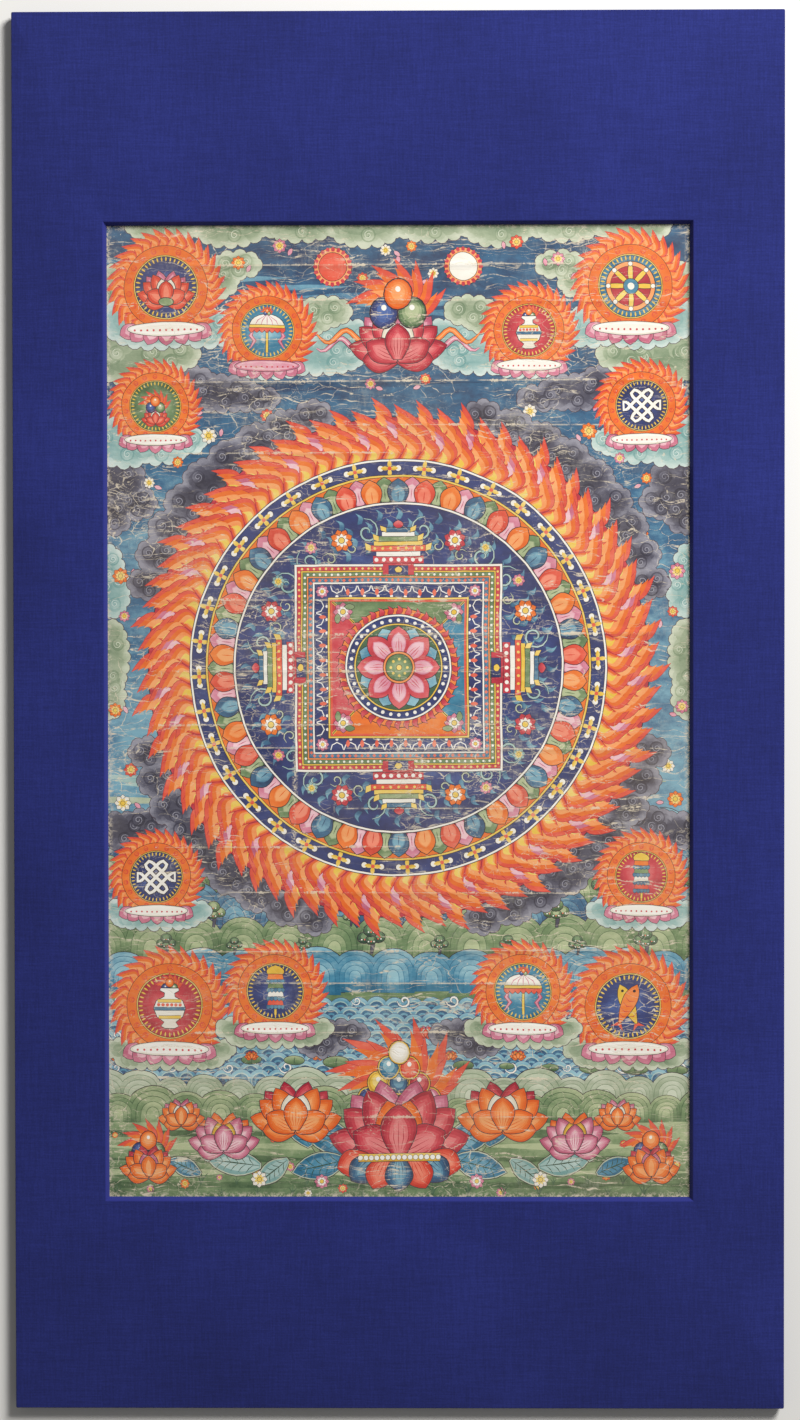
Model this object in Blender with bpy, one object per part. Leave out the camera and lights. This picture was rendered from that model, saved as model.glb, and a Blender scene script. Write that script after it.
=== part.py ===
# A painted cotton thangka held in a cloth-covered window mount.
# It lies on its back: +Z comes out of the painting, +Y is the painting's top, and the origin is
# the middle of the back, on the surface that the backing board rests on. Metres throughout.

import bmesh
import bpy

# Outline of the mount and of its window
PANEL_WIDTH = 0.830
PANEL_HEIGHT = 1.505
WINDOW_WIDTH = 0.634
WINDOW_HEIGHT = 1.055

# Thicknesses of the layers, and the clearance between two that touch
BACKING_THICKNESS = 0.005
BOARD_THICKNESS = 0.007
COVER_THICKNESS = 0.001
THANGKA_THICKNESS = 0.0015
CLEARANCE = 0.0003

# How far the layers reach past each other
BEVEL_RUN = 0.0036
REBATE_WIDTH = 0.022
THANGKA_TUCK = 0.015
WINDOW_TURN_IN = 0.012
BACK_TURN_IN = 0.042
BACKING_INSET = 0.025
BACKING_EDGE_BEVEL = 0.0006

# Heights above the surface, from the back forwards
THANGKA_BOTTOM = BACKING_THICKNESS + CLEARANCE
THANGKA_TOP = THANGKA_BOTTOM + THANGKA_THICKNESS
TURN_IN_BOTTOM = BACKING_THICKNESS + CLEARANCE
TURN_IN_TOP = TURN_IN_BOTTOM + COVER_THICKNESS
BOARD_BOTTOM = TURN_IN_TOP + CLEARANCE
BOARD_TOP = BOARD_BOTTOM + BOARD_THICKNESS
COVER_INSIDE = BOARD_TOP + CLEARANCE
COVER_FRONT = COVER_INSIDE + COVER_THICKNESS
LIP_BOTTOM = THANGKA_TOP + CLEARANCE
LIP_TOP = LIP_BOTTOM + COVER_THICKNESS
REBATE_TOP = LIP_TOP + CLEARANCE

# Rolling creases that cross the painted cotton. y is where the crease crosses the middle, drift
# is how much higher it ends at the right than at the left, and start and end are shares of the
# sheet's width between which it stands up by height.
CREASE_HALF_WIDTH = 0.0065
CREASE_FADE = 0.12
CREASE_COLUMNS = ("y", "drift", "start", "end", "height")
CREASES = (
    (0.482, 0.002, 0.05, 0.90, 0.0009),
    (0.444, -0.003, 0.20, 1.00, 0.0007),
    (0.402, 0.001, 0.00, 0.70, 0.0005),
    (0.357, 0.003, 0.02, 0.98, 0.0008),
    (0.310, -0.002, 0.30, 0.95, 0.0005),
    (0.280, 0.002, 0.00, 0.60, 0.0006),
    (0.121, -0.001, 0.05, 0.85, 0.0008),
    (0.084, 0.003, 0.25, 1.00, 0.0006),
    (0.044, -0.002, 0.00, 0.75, 0.0006),
    (-0.013, 0.002, 0.00, 0.55, 0.0005),
    (-0.039, -0.003, 0.10, 0.95, 0.0007),
    (-0.104, 0.001, 0.30, 1.00, 0.0004),
    (-0.145, 0.002, 0.00, 0.60, 0.0005),
    (-0.195, -0.002, 0.10, 0.90, 0.0006),
    (-0.258, 0.003, 0.00, 1.00, 0.0009),
    (-0.293, -0.001, 0.15, 0.80, 0.0007),
    (-0.346, 0.002, 0.05, 0.75, 0.0005),
    (-0.396, -0.002, 0.00, 0.90, 0.0006),
    (-0.438, 0.001, 0.25, 1.00, 0.0005),
)
SHEET_COLUMNS = 14

# Finish of each piece: colour (linear), roughness
NAVY_CLOTH = (0.030, 0.034, 0.205, 1.0), 0.92
GREY_CARD = (0.47, 0.44, 0.38, 1.0), 0.90
PAINTED_COTTON = (0.42, 0.17, 0.09, 1.0), 0.88
BUFF_BOARD = (0.52, 0.43, 0.31, 1.0), 0.92


def clear_scene():
    for item in list(bpy.data.objects):
        bpy.data.objects.remove(item, do_unlink=True)


def add_piece(name, bm, finish):
    bmesh.ops.recalc_face_normals(bm, faces=bm.faces)
    mesh = bpy.data.meshes.new(name)
    bm.to_mesh(mesh)
    bm.free()
    color, roughness = finish
    material = bpy.data.materials.new(name)
    material.use_nodes = True
    shader = material.node_tree.nodes["Principled BSDF"]
    shader.inputs["Base Color"].default_value = color
    shader.inputs["Roughness"].default_value = roughness
    shader.inputs["Metallic"].default_value = 0.0
    material.diffuse_color = color
    mesh.materials.append(material)
    piece = bpy.data.objects.new(name, mesh)
    bpy.context.scene.collection.objects.link(piece)
    return piece


# One turn of a frame's section: a rectangle, inset from the panel's outline
def from_panel(inset, z):
    return PANEL_WIDTH / 2 - inset, PANEL_HEIGHT / 2 - inset, z


# The same, but grown from the window's outline
def from_window(outset, z):
    return WINDOW_WIDTH / 2 + outset, WINDOW_HEIGHT / 2 + outset, z


# The bevel leans into the window from the cover's front to the lip's bottom. depth is how far
# behind the cover's face the point lies, square to the bevel.
def on_bevel(depth, z):
    drop = COVER_FRONT - LIP_BOTTOM
    slant = (BEVEL_RUN ** 2 + drop ** 2) ** 0.5
    outset = depth * slant / drop - BEVEL_RUN * (COVER_FRONT - z) / drop
    return from_window(outset, z)


# A closed frame: the section's corners, in order round it, carried round the four mitres
def frame_solid(name, section, finish):
    bm = bmesh.new()
    turns = []
    for half_width, half_height, z in section:
        corners = ((-1, -1), (1, -1), (1, 1), (-1, 1))
        turns.append([bm.verts.new((sx * half_width, sy * half_height, z)) for sx, sy in corners])
    for index, turn in enumerate(turns):
        following = turns[(index + 1) % len(turns)]
        for side in range(4):
            after = (side + 1) % 4
            bm.faces.new((turn[side], turn[after], following[after], following[side]))
    return add_piece(name, bm, finish)


def backing_board():
    bm = bmesh.new()
    bmesh.ops.create_cube(bm, size=1.0)
    width = PANEL_WIDTH - 2 * BACKING_INSET
    height = PANEL_HEIGHT - 2 * BACKING_INSET
    bmesh.ops.scale(bm, vec=(width, height, BACKING_THICKNESS), verts=bm.verts)
    bmesh.ops.translate(bm, vec=(0, 0, BACKING_THICKNESS / 2), verts=bm.verts)
    bmesh.ops.bevel(bm, geom=bm.edges, offset=BACKING_EDGE_BEVEL, segments=1, affect="EDGES")
    return add_piece("backing_board", bm, BUFF_BOARD)


def mount_board():
    side = COVER_THICKNESS + CLEARANCE
    section = (
        from_panel(side, BOARD_BOTTOM),
        from_panel(side, BOARD_TOP),
        on_bevel(side, BOARD_TOP),
        on_bevel(side, REBATE_TOP),
        from_window(REBATE_WIDTH, REBATE_TOP),
        from_window(REBATE_WIDTH, BOARD_BOTTOM),
    )
    return frame_solid("mount_board", section, GREY_CARD)


# The cover goes round from the back turn-in, over the front and down the bevel to the window's
# turn-in, and returns along its inner face. Its outer edges are rounded by its own thickness.
def mount_cloth():
    turn = COVER_THICKNESS
    soft = 0.3 * COVER_THICKNESS
    section = (
        from_panel(BACK_TURN_IN, TURN_IN_BOTTOM),
        from_panel(turn, TURN_IN_BOTTOM),
        from_panel(soft, TURN_IN_BOTTOM + soft),
        from_panel(0, TURN_IN_BOTTOM + turn),
        from_panel(0, COVER_FRONT - turn),
        from_panel(soft, COVER_FRONT - soft),
        from_panel(turn, COVER_FRONT),
        from_window(turn, COVER_FRONT),
        on_bevel(soft, COVER_FRONT - soft),
        on_bevel(0, COVER_FRONT - turn),
        on_bevel(0, LIP_BOTTOM + soft),
        on_bevel(soft, LIP_BOTTOM),
        from_window(WINDOW_TURN_IN, LIP_BOTTOM),
        from_window(WINDOW_TURN_IN, LIP_TOP),
        on_bevel(turn, LIP_TOP),
        on_bevel(turn, COVER_INSIDE),
        from_panel(turn, COVER_INSIDE),
        from_panel(turn, TURN_IN_TOP),
        from_panel(BACK_TURN_IN, TURN_IN_TOP),
    )
    return frame_solid("mount_cloth", section, NAVY_CLOTH)


def smooth_step(share):
    share = min(max(share, 0.0), 1.0)
    return share * share * (3.0 - 2.0 * share)


# How far a crease stands up at a share of the sheet's width: it fades in and out at its ends
def crease_rise(crease, share):
    fade_in = smooth_step((share - crease["start"]) / CREASE_FADE)
    fade_out = smooth_step((crease["end"] - share) / CREASE_FADE)
    return crease["height"] * fade_in * fade_out


# The sheet's rows, bottom to top. Each has its y and its rise as functions of the share of the
# width: a crease has its two feet, its two shoulders and its ridge, and the margins lie flat.
def sheet_rows():
    half_height = WINDOW_HEIGHT / 2 + THANGKA_TUCK
    rows = [(-half_height, 0.0, None, 0.0)]
    rows.append((-WINDOW_HEIGHT / 2, 0.0, None, 0.0))
    steps = ((-1.0, 0.0), (-0.45, 0.5), (0.0, 1.0), (0.45, 0.5), (1.0, 0.0))
    for values in reversed(CREASES):
        crease = dict(zip(CREASE_COLUMNS, values))
        for step, portion in steps:
            y = crease["y"] + step * CREASE_HALF_WIDTH
            rows.append((y, crease["drift"], crease, portion))
    rows.append((WINDOW_HEIGHT / 2, 0.0, None, 0.0))
    rows.append((half_height, 0.0, None, 0.0))
    return rows


def sheet_point(row, share, tuck):
    y, drift, crease, portion = row
    x = (share - 0.5) * WINDOW_WIDTH + tuck
    rise = portion * crease_rise(crease, share) if crease and not tuck else 0.0
    return x, y + drift * (share - 0.5), rise


# Faces between neighbouring rows of vertices
def join_rows(bm, rows):
    for lower, upper in zip(rows, rows[1:]):
        for index in range(len(lower) - 1):
            bm.faces.new((lower[index], lower[index + 1], upper[index + 1], upper[index]))


# Painted cotton: one sheet whose front and back both follow the creases
def thangka_cloth():
    bm = bmesh.new()
    columns = [(0.0, -THANGKA_TUCK)]
    columns += [(index / SHEET_COLUMNS, 0.0) for index in range(SHEET_COLUMNS + 1)]
    columns += [(1.0, THANGKA_TUCK)]
    front = []
    back = []
    for row in sheet_rows():
        points = [sheet_point(row, share, tuck) for share, tuck in columns]
        front.append([bm.verts.new((x, y, THANGKA_TOP + rise)) for x, y, rise in points])
        back.append([bm.verts.new((x, y, THANGKA_BOTTOM + rise)) for x, y, rise in points])
    join_rows(bm, front)
    join_rows(bm, back)
    join_rows(bm, (back[0], front[0]))
    join_rows(bm, (back[-1], front[-1]))
    join_rows(bm, ([row[0] for row in back], [row[0] for row in front]))
    join_rows(bm, ([row[-1] for row in back], [row[-1] for row in front]))
    return add_piece("thangka_cloth", bm, PAINTED_COTTON)


clear_scene()
backing_board()
thangka_cloth()
mount_board()
mount_cloth()
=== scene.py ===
import math

import bmesh
import bpy
import numpy as np
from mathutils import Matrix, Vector, noise
from mathutils.geometry import delaunay_2d_cdt


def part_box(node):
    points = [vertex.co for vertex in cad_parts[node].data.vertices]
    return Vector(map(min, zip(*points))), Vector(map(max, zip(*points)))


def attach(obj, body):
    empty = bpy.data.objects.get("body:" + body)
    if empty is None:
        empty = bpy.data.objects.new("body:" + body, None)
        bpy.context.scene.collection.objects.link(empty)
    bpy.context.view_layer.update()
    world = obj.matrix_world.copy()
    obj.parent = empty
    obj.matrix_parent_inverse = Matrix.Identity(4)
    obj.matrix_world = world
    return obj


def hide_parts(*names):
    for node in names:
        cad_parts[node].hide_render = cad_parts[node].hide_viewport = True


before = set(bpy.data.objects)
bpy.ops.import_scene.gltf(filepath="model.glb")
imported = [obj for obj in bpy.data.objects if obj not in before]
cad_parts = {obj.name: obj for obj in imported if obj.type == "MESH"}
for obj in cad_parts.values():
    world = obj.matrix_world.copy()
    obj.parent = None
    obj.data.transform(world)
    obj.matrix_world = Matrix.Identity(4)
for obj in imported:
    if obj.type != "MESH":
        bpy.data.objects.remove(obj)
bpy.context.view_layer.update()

# A painted cotton thangka in the bevelled window of a navy cloth-covered mount, lying face up.
# The painting is drawn in millimetres from the middle of the sheet, and laid on it in metres.
mm = 0.001
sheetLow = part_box("thangka_cloth")[0]
coverLow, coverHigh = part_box("mount_cloth")


# sRGB hex to linear colour
def srgb(code, alpha=1.0):
    channels = [int(code[i:i + 2], 16) / 255 for i in (1, 3, 5)]
    linear = [c / 12.92 if c <= 0.04045 else ((c + 0.055) / 1.055) ** 2.4 for c in channels]
    return (*linear, alpha)


# Adds a node with its settings, and its inputs as values or links
def addNode(tree, kind, sockets=None, **settings):
    node = tree.nodes.new(kind)
    for key, value in settings.items():
        setattr(node, key, value)
    for socket, value in (sockets or {}).items():
        if isinstance(value, bpy.types.NodeSocket):
            tree.links.new(value, node.inputs[socket])
        else:
            node.inputs[socket].default_value = value
    return node


def newMaterial(name, roughness, specular, sheen=0.0):
    material = bpy.data.materials.new(name)
    material.use_nodes = True
    tree = material.node_tree
    shader = tree.nodes["Principled BSDF"]
    shader.inputs["Roughness"].default_value = roughness
    shader.inputs["Specular IOR Level"].default_value = specular
    shader.inputs["Sheen Weight"].default_value = sheen
    return material, tree, shader


def addNoise(tree, place, scale, stretch=(1, 1, 1), detail=2.0, rough=0.5, output="Fac"):
    spot = addNode(tree, "ShaderNodeMapping", {"Vector": place, "Scale": stretch})
    return addNode(tree, "ShaderNodeTexNoise", {
        "Vector": spot.outputs[0], "Scale": scale, "Detail": detail,
        "Roughness": rough}).outputs[output]


def addRange(tree, value, low, high, least=0.0, most=1.0):
    return addNode(tree, "ShaderNodeMapRange", {
        "Value": value, "From Min": low, "From Max": high, "To Min": least,
        "To Max": most}).outputs["Result"]


def addRamp(tree, value, stops):
    node = addNode(tree, "ShaderNodeValToRGB", {"Fac": value})
    ramp = node.color_ramp
    while len(ramp.elements) > 1:
        ramp.elements.remove(ramp.elements[-1])
    for index, (place, code) in enumerate(stops):
        element = ramp.elements[0] if index == 0 else ramp.elements.new(place)
        element.position = place
        element.color = srgb(code)
    return node.outputs["Color"]


def blend(tree, share, a, b):
    return addNode(tree, "ShaderNodeMix", {"Factor": share, "A": a, "B": b},
                   data_type="RGBA").outputs[2]


def finishMaterial(tree, shader, color, height, strength, distance):
    bump = addNode(tree, "ShaderNodeBump", {
        "Height": height, "Strength": strength, "Distance": distance})
    tree.links.new(color, shader.inputs["Base Color"])
    tree.links.new(bump.outputs["Normal"], shader.inputs["Normal"])


def addObject(name, data):
    item = bpy.data.objects.new(name, data)
    bpy.context.scene.collection.objects.link(item)
    return item


# Geometry Nodes for the stencils' repeats
def newTree(name, inputs):
    tree = bpy.data.node_groups.new(name, "GeometryNodeTree")
    face = tree.interface
    face.new_socket("Geometry", in_out="INPUT", socket_type="NodeSocketGeometry")
    face.new_socket("Geometry", in_out="OUTPUT", socket_type="NodeSocketGeometry")
    for label, kind, value in inputs:
        socket = face.new_socket(label, in_out="INPUT", socket_type="NodeSocket" + kind)
        if value is not None:
            socket.default_value = value
    return tree, addNode(tree, "NodeGroupInput").outputs, addNode(tree, "NodeGroupOutput")


# Joins values from the left by one operation, or works on the only one
def doMath(tree, operation, *values):
    result = values[0]
    for value in values[1:] or (0.0,):
        node = addNode(tree, "ShaderNodeMath", {0: result, 1: value}, operation=operation)
        result = node.outputs[0]
    return result


# Every tree ends the same way: instances made real, then the pigment
def endTree(tree, geometry, given, result):
    real = addNode(tree, "GeometryNodeRealizeInstances", {0: geometry})
    worn = addNode(tree, "GeometryNodeSetMaterial", {0: real.outputs[0], 2: given["Pigment"]})
    tree.links.new(worn.outputs[0], result.inputs[0])
    return tree


# The host mesh at each of Count places, turned and sized
def addCopies(tree, given, place, turn, size):
    spin = addNode(tree, "ShaderNodeCombineXYZ", {2: turn})
    rotation = addNode(tree, "FunctionNodeEulerToRotation", {0: spin.outputs[0]})
    points = addNode(tree, "GeometryNodePoints", {0: given["Count"], 1: place.outputs[0]})
    return addNode(tree, "GeometryNodeInstanceOnPoints", {
        "Points": points.outputs[0], "Instance": given["Geometry"],
        "Rotation": rotation.outputs[0], "Scale": size}).outputs[0]


# The host mesh repeated round an ellipse, each one turned to face outwards
def makeRingTree():
    tree, given, result = newTree("stencilRing", (
        ("Count", "Int", 8), ("Centre", "Vector", (0, 0, 0)), ("Radius X", "Float", 1.0),
        ("Radius Y", "Float", 1.0), ("Start", "Float", 0.0), ("Span", "Float", math.tau),
        ("Turn", "Float", 0.0), ("Pigment", "Material", None)))
    index = addNode(tree, "GeometryNodeInputIndex").outputs[0]
    step = doMath(tree, "DIVIDE", given["Span"], given["Count"])
    angle = doMath(tree, "ADD", doMath(tree, "MULTIPLY", index, step), given["Start"])
    x = doMath(tree, "MULTIPLY", doMath(tree, "COSINE", angle), given["Radius X"])
    y = doMath(tree, "MULTIPLY", doMath(tree, "SINE", angle), given["Radius Y"])
    arm = addNode(tree, "ShaderNodeCombineXYZ", {0: x, 1: y})
    place = addNode(tree, "ShaderNodeVectorMath", {0: arm.outputs[0], 1: given["Centre"]})
    facing = doMath(tree, "ADD", angle, -math.pi / 2, given["Turn"])
    copies = addCopies(tree, given, place, facing, (1, 1, 1))
    return endTree(tree, copies, given, result)


# The host mesh repeated along a line, with sizes that vary a little
def makeRowTree():
    tree, given, result = newTree("stencilRow", (
        ("Count", "Int", 8), ("Start", "Vector", (0, 0, 0)), ("Step", "Vector", (1, 0, 0)),
        ("Turn", "Float", 0.0), ("Uneven", "Float", 0.0), ("Seed", "Int", 1),
        ("Pigment", "Material", None)))
    index = addNode(tree, "GeometryNodeInputIndex").outputs[0]
    along = addNode(tree, "ShaderNodeVectorMath", {0: given["Step"], "Scale": index},
                    operation="SCALE")
    place = addNode(tree, "ShaderNodeVectorMath", {0: along.outputs[0], 1: given["Start"]})
    chance = addNode(tree, "FunctionNodeRandomValue", {
        "Min": -1.0, "Max": 1.0, "Seed": given["Seed"]}, data_type="FLOAT")
    swing = next(s for s in chance.outputs if s.enabled)
    size = doMath(tree, "ADD", doMath(tree, "MULTIPLY", swing, given["Uneven"]), 1.0)
    copies = addCopies(tree, given, place, given["Turn"], size)
    return endTree(tree, copies, given, result)


# The host mesh's edges drawn as brush lines that thin out towards their ends
def makeLineTree():
    tree, given, result = newTree("brushLine", (
        ("Width", "Float", 1.0), ("Ends", "Float", 0.3), ("Pigment", "Material", None)))
    curve = addNode(tree, "GeometryNodeMeshToCurve", {0: given["Geometry"]})
    upright = addNode(tree, "GeometryNodeSetCurveNormal", {0: curve.outputs[0]}, mode="Z_UP")
    factor = addNode(tree, "GeometryNodeSplineParameter").outputs["Factor"]
    along = addNode(tree, "ShaderNodeMath", {0: factor, 1: 2.0, 2: -1.0}, operation="MULTIPLY_ADD")
    fall = doMath(tree, "POWER", doMath(tree, "ABSOLUTE", along.outputs[0]), 3.0)
    thin = doMath(tree, "MULTIPLY", fall, doMath(tree, "SUBTRACT", 1.0, given["Ends"]))
    radius = doMath(tree, "SUBTRACT", 1.0, thin)
    half = doMath(tree, "MULTIPLY", given["Width"], 0.5)
    left = addNode(tree, "ShaderNodeCombineXYZ", {0: doMath(tree, "MULTIPLY", half, -1.0)})
    right = addNode(tree, "ShaderNodeCombineXYZ", {0: half})
    tip = addNode(tree, "GeometryNodeCurvePrimitiveLine", {0: left.outputs[0],
                                                          1: right.outputs[0]})
    strip = addNode(tree, "GeometryNodeCurveToMesh", {
        "Curve": upright.outputs[0], "Profile Curve": tip.outputs[0], "Scale": radius})
    return endTree(tree, strip.outputs[0], given, result)


# Runs a tree on the host and hands back a plain mesh; the modifier is gone afterwards
def runTree(tree, host, values):
    modifier = host.modifiers.new(tree.name, "NODES")
    modifier.node_group = tree
    for item in tree.interface.items_tree:
        if item.in_out == "INPUT" and item.name in values:
            modifier[item.identifier] = values[item.name]
    evaluated = host.evaluated_get(bpy.context.evaluated_depsgraph_get())
    mesh = bpy.data.meshes.new_from_object(evaluated)
    host.modifiers.remove(modifier)
    return mesh


ringTree = makeRingTree()
rowTree = makeRowTree()
lineTree = makeLineTree()
print("trees made")


# Drawing: outlines in millimetres, laid one over another
layers = []  # outline, pigment, tone: a number, or a function of x and y from 0, deep, to 1, pale
pigments = {}  # name to material
stencil = addObject("stencil", bpy.data.meshes.new("stencil"))


def mix(a, b, share):
    return a + (b - a) * min(max(share, 0.0), 1.0)


def lay(outline, pigment, tone=0.5):
    if isinstance(tone, tuple):
        heights = [y for x, y in outline]
        low, high = min(heights), max(heights)
        foot, tip = tone
        tone = lambda x, y: mix(foot, tip, (y - low) / (high - low))
    layers.append((outline, pigment, tone))


# A copied shape keeps its foot-to-tip shading, whichever way it is turned
def turnedTone(outline, copy, tone):
    if not isinstance(tone, tuple):
        return tone
    heights = [y for x, y in outline]
    low, high = min(heights), max(heights)
    wanted = [mix(*tone, (y - low) / (high - low)) for y in heights]
    terms = np.array([(1.0, x, y) for x, y in copy])
    plain, perX, perY = np.linalg.lstsq(terms, np.array(wanted), rcond=None)[0]
    return lambda x, y: plain + perX * x + perY * y


def runStencil(tree, outline, pigment, tone, values):
    stencil.data.clear_geometry()
    stencil.data.from_pydata([(x, y, 0.0) for x, y in outline], [], [range(len(outline))])
    result = runTree(tree, stencil, {**values, "Pigment": pigments[pigment]})
    for face in result.polygons:
        copy = [tuple(result.vertices[i].co[:2]) for i in face.vertices]
        layers.append((copy, pigment, turnedTone(outline, copy, tone)))
    bpy.data.meshes.remove(result)


def ring(parts, count, radius, centre, radiusY=None, start=0, span=360, turn=0):
    values = {
        "Count": count, "Centre": (float(centre[0]), float(centre[1]), 0.0),
        "Radius X": float(radius), "Radius Y": float(radius if radiusY is None else radiusY),
        "Start": math.radians(start), "Span": math.radians(span), "Turn": math.radians(turn)}
    for outline, pigment, tone in parts:
        runStencil(ringTree, outline, pigment, tone, values)


def row(parts, count, start, step, turn=0, uneven=0, seed=1):
    values = {
        "Count": count, "Start": (float(start[0]), float(start[1]), 0.0),
        "Step": (float(step[0]), float(step[1]), 0.0), "Turn": math.radians(turn),
        "Uneven": float(uneven), "Seed": seed}
    for outline, pigment, tone in parts:
        runStencil(rowTree, outline, pigment, tone, values)


def brushLines(lines, width, pigment, tone, ends):
    points = []
    edges = []
    for line in lines:
        first = len(points)
        points += [(x, y, 0.0) for x, y in line]
        edges += [(i, i + 1) for i in range(first, len(points) - 1)]
    stencil.data.clear_geometry()
    stencil.data.from_pydata(points, edges, [])
    values = {"Width": float(width), "Ends": float(ends), "Pigment": pigments[pigment]}
    result = runTree(lineTree, stencil, values)
    for face in result.polygons:
        layers.append(([tuple(result.vertices[i].co[:2]) for i in face.vertices], pigment, tone))
    bpy.data.meshes.remove(result)


def oval(x, y, radiusX, radiusY=None, steps=None):
    radiusY = radiusX if radiusY is None else radiusY
    steps = steps or int(min(110, 10 + 1.1 * max(radiusX, radiusY)))
    turns = [math.tau * i / steps for i in range(steps)]
    return [(x + radiusX * math.cos(a), y + radiusY * math.sin(a)) for a in turns]


def box(left, bottom, right, top):
    return [(left, bottom), (right, bottom), (right, top), (left, top)]


def moved(outline, x, y, scale=1):
    return [(x + px * scale, y + py * scale) for px, py in outline]


def turned(outline, degrees):
    c, s = math.cos(math.radians(degrees)), math.sin(math.radians(degrees))
    return [(x * c + y * s, y * c - x * s) for x, y in outline]


# Turned about the origin, then moved
def placed(parts, x=0, y=0, turn=0):
    return [(moved(turned(outline, turn), x, y), pigment, tone) for outline, pigment, tone in parts]


# Twice an outline's area, below nought if it runs clockwise
def signedArea(outline):
    return sum(a[0] * b[1] - b[0] * a[1] for a, b in zip(outline, outline[1:] + outline[:1]))


# Pushes an outline outwards, for the ink line that shows round a shape
def grown(outline, distance):
    wider = []
    if signedArea(outline) < 0:
        distance = -distance
    for i, (x, y) in enumerate(outline):
        before = outline[i - 1]
        after = outline[(i + 1) % len(outline)]
        dx, dy = after[0] - before[0], after[1] - before[1]
        length = math.hypot(dx, dy) or 1.0
        wider.append((x + distance * dy / length, y - distance * dx / length))
    return wider


# A petal or leaf from its foot at the origin up to its point
def petal(length, width, foot=0.4, shoulder=0.5, steps=7):
    side = []
    for i in range(steps + 1):
        t = i / steps
        if t < shoulder:
            spread = foot + (1 - foot) * math.sin(math.pi / 2 * t / shoulder)
        else:
            spread = math.cos(math.pi / 2 * (t - shoulder) / (1 - shoulder)) ** 0.75
        side.append((spread * width / 2, t * length))
    return side + [(-x, y) for x, y in reversed(side[:-1])]


# A tongue of flame that leans and curls back at its tip
def flame(length, width, lean=0.5, steps=8):
    right = []
    left = []
    for i in range(steps + 1):
        t = i / steps
        middle = lean * width * math.sin(3.6 * t) * (0.35 + 0.65 * t)
        half = width / 2 * (1 - t) ** 0.75 * (0.7 + 0.5 * math.sin(math.pi * t))
        right.append((middle + half, t * length))
        left.append((middle - half, t * length))
    return right + list(reversed(left[:-1]))


# One brush mark as an outline: the line's two sides, thinner at the ends
def mark(line, width, ends=0.3):
    right = []
    left = []
    last = len(line) - 1
    for i, (x, y) in enumerate(line):
        before = line[max(i - 1, 0)]
        after = line[min(i + 1, last)]
        dx, dy = after[0] - before[0], after[1] - before[1]
        length = math.hypot(dx, dy) or 1.0
        half = width / 2 * (1 - (1 - ends) * abs(2 * i / last - 1) ** 3)
        right.append((x + half * dy / length, y - half * dx / length))
        left.append((x - half * dy / length, y + half * dx / length))
    return right + list(reversed(left))


def curl(outer, inner, turns, start, steps=12):
    line = []
    for i in range(steps + 1):
        t = i / steps
        angle = math.radians(start) + turns * math.tau * t
        radius = mix(outer, inner, t ** 0.8)
        line.append((radius * math.cos(angle), radius * math.sin(angle)))
    return line


def inked(outline, pigment, tone, line=0.8):
    return [(grown(outline, line), "ink", 0.4), (outline, pigment, tone)]


def dot(radius, pigment, tone, steps=8):
    return [(oval(0, 0, radius, steps=steps), pigment, tone)]


def layParts(parts, x, y, turn=0):
    for outline, pigment, tone in placed(parts, x, y, turn):
        lay(outline, pigment, tone)


# A dark line, then the colour
def disc(x, y, radius, pigment, tone=0.5, line=0.8):
    if line:
        lay(oval(x, y, radius + line), "ink", 0.4)
    lay(oval(x, y, radius), pigment, tone)


# The painting: sky, clouds, land and water round a lotus palace of rings and a square
fieldHalf = (318.0, 529.0)  # the painted field; the cotton beyond it is bare
wheel = {"x": 0.0, "y": 48.0, "radius": 282.0}  # the great round palace


# A tone that runs from the middle of a shape to its edge
def radial(x, y, radius, middle, edge):
    return lambda px, py: mix(middle, edge, math.hypot(px - x, py - y) / radius)


# Shrinks what has been laid since first about the palace's centre
def shrinkSince(first, scale):
    x, y = wheel["x"], wheel["y"]
    for i in range(first, len(layers)):
        outline, pigment, tone = layers[i]
        smaller = [(x + (px - x) * scale, y + (py - y) * scale) for px, py in outline]
        if callable(tone):
            tone = lambda px, py, full=tone: full(x + (px - x) / scale, y + (py - y) / scale)
        layers[i] = (smaller, pigment, tone)


def paintSky():
    w, h = fieldHalf
    lay(box(-w, -h, w, h), "azurite", lambda x, y: mix(1.05, 0.3, (y + 140) / 600))
    streak = petal(130, 7, 0.1, 0.5)
    for color, tone, count, start, step, turn, seed in (
            ("azurite", 0.75, 9, (-260, 486), (70, -9), 91, 2),
            ("azurite", 0.2, 9, (-240, 340), (66, 3), 89, 5),
            ("aqua", 0.5, 8, (-270, -70), (74, -4), 90, 8),
            ("sage", 0.7, 8, (-230, -96), (74, 3), 89, 9)):
        row([(streak, color, tone)], count, start, step, turn=turn, uneven=0.4, seed=seed)
    print("sky laid")


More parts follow.
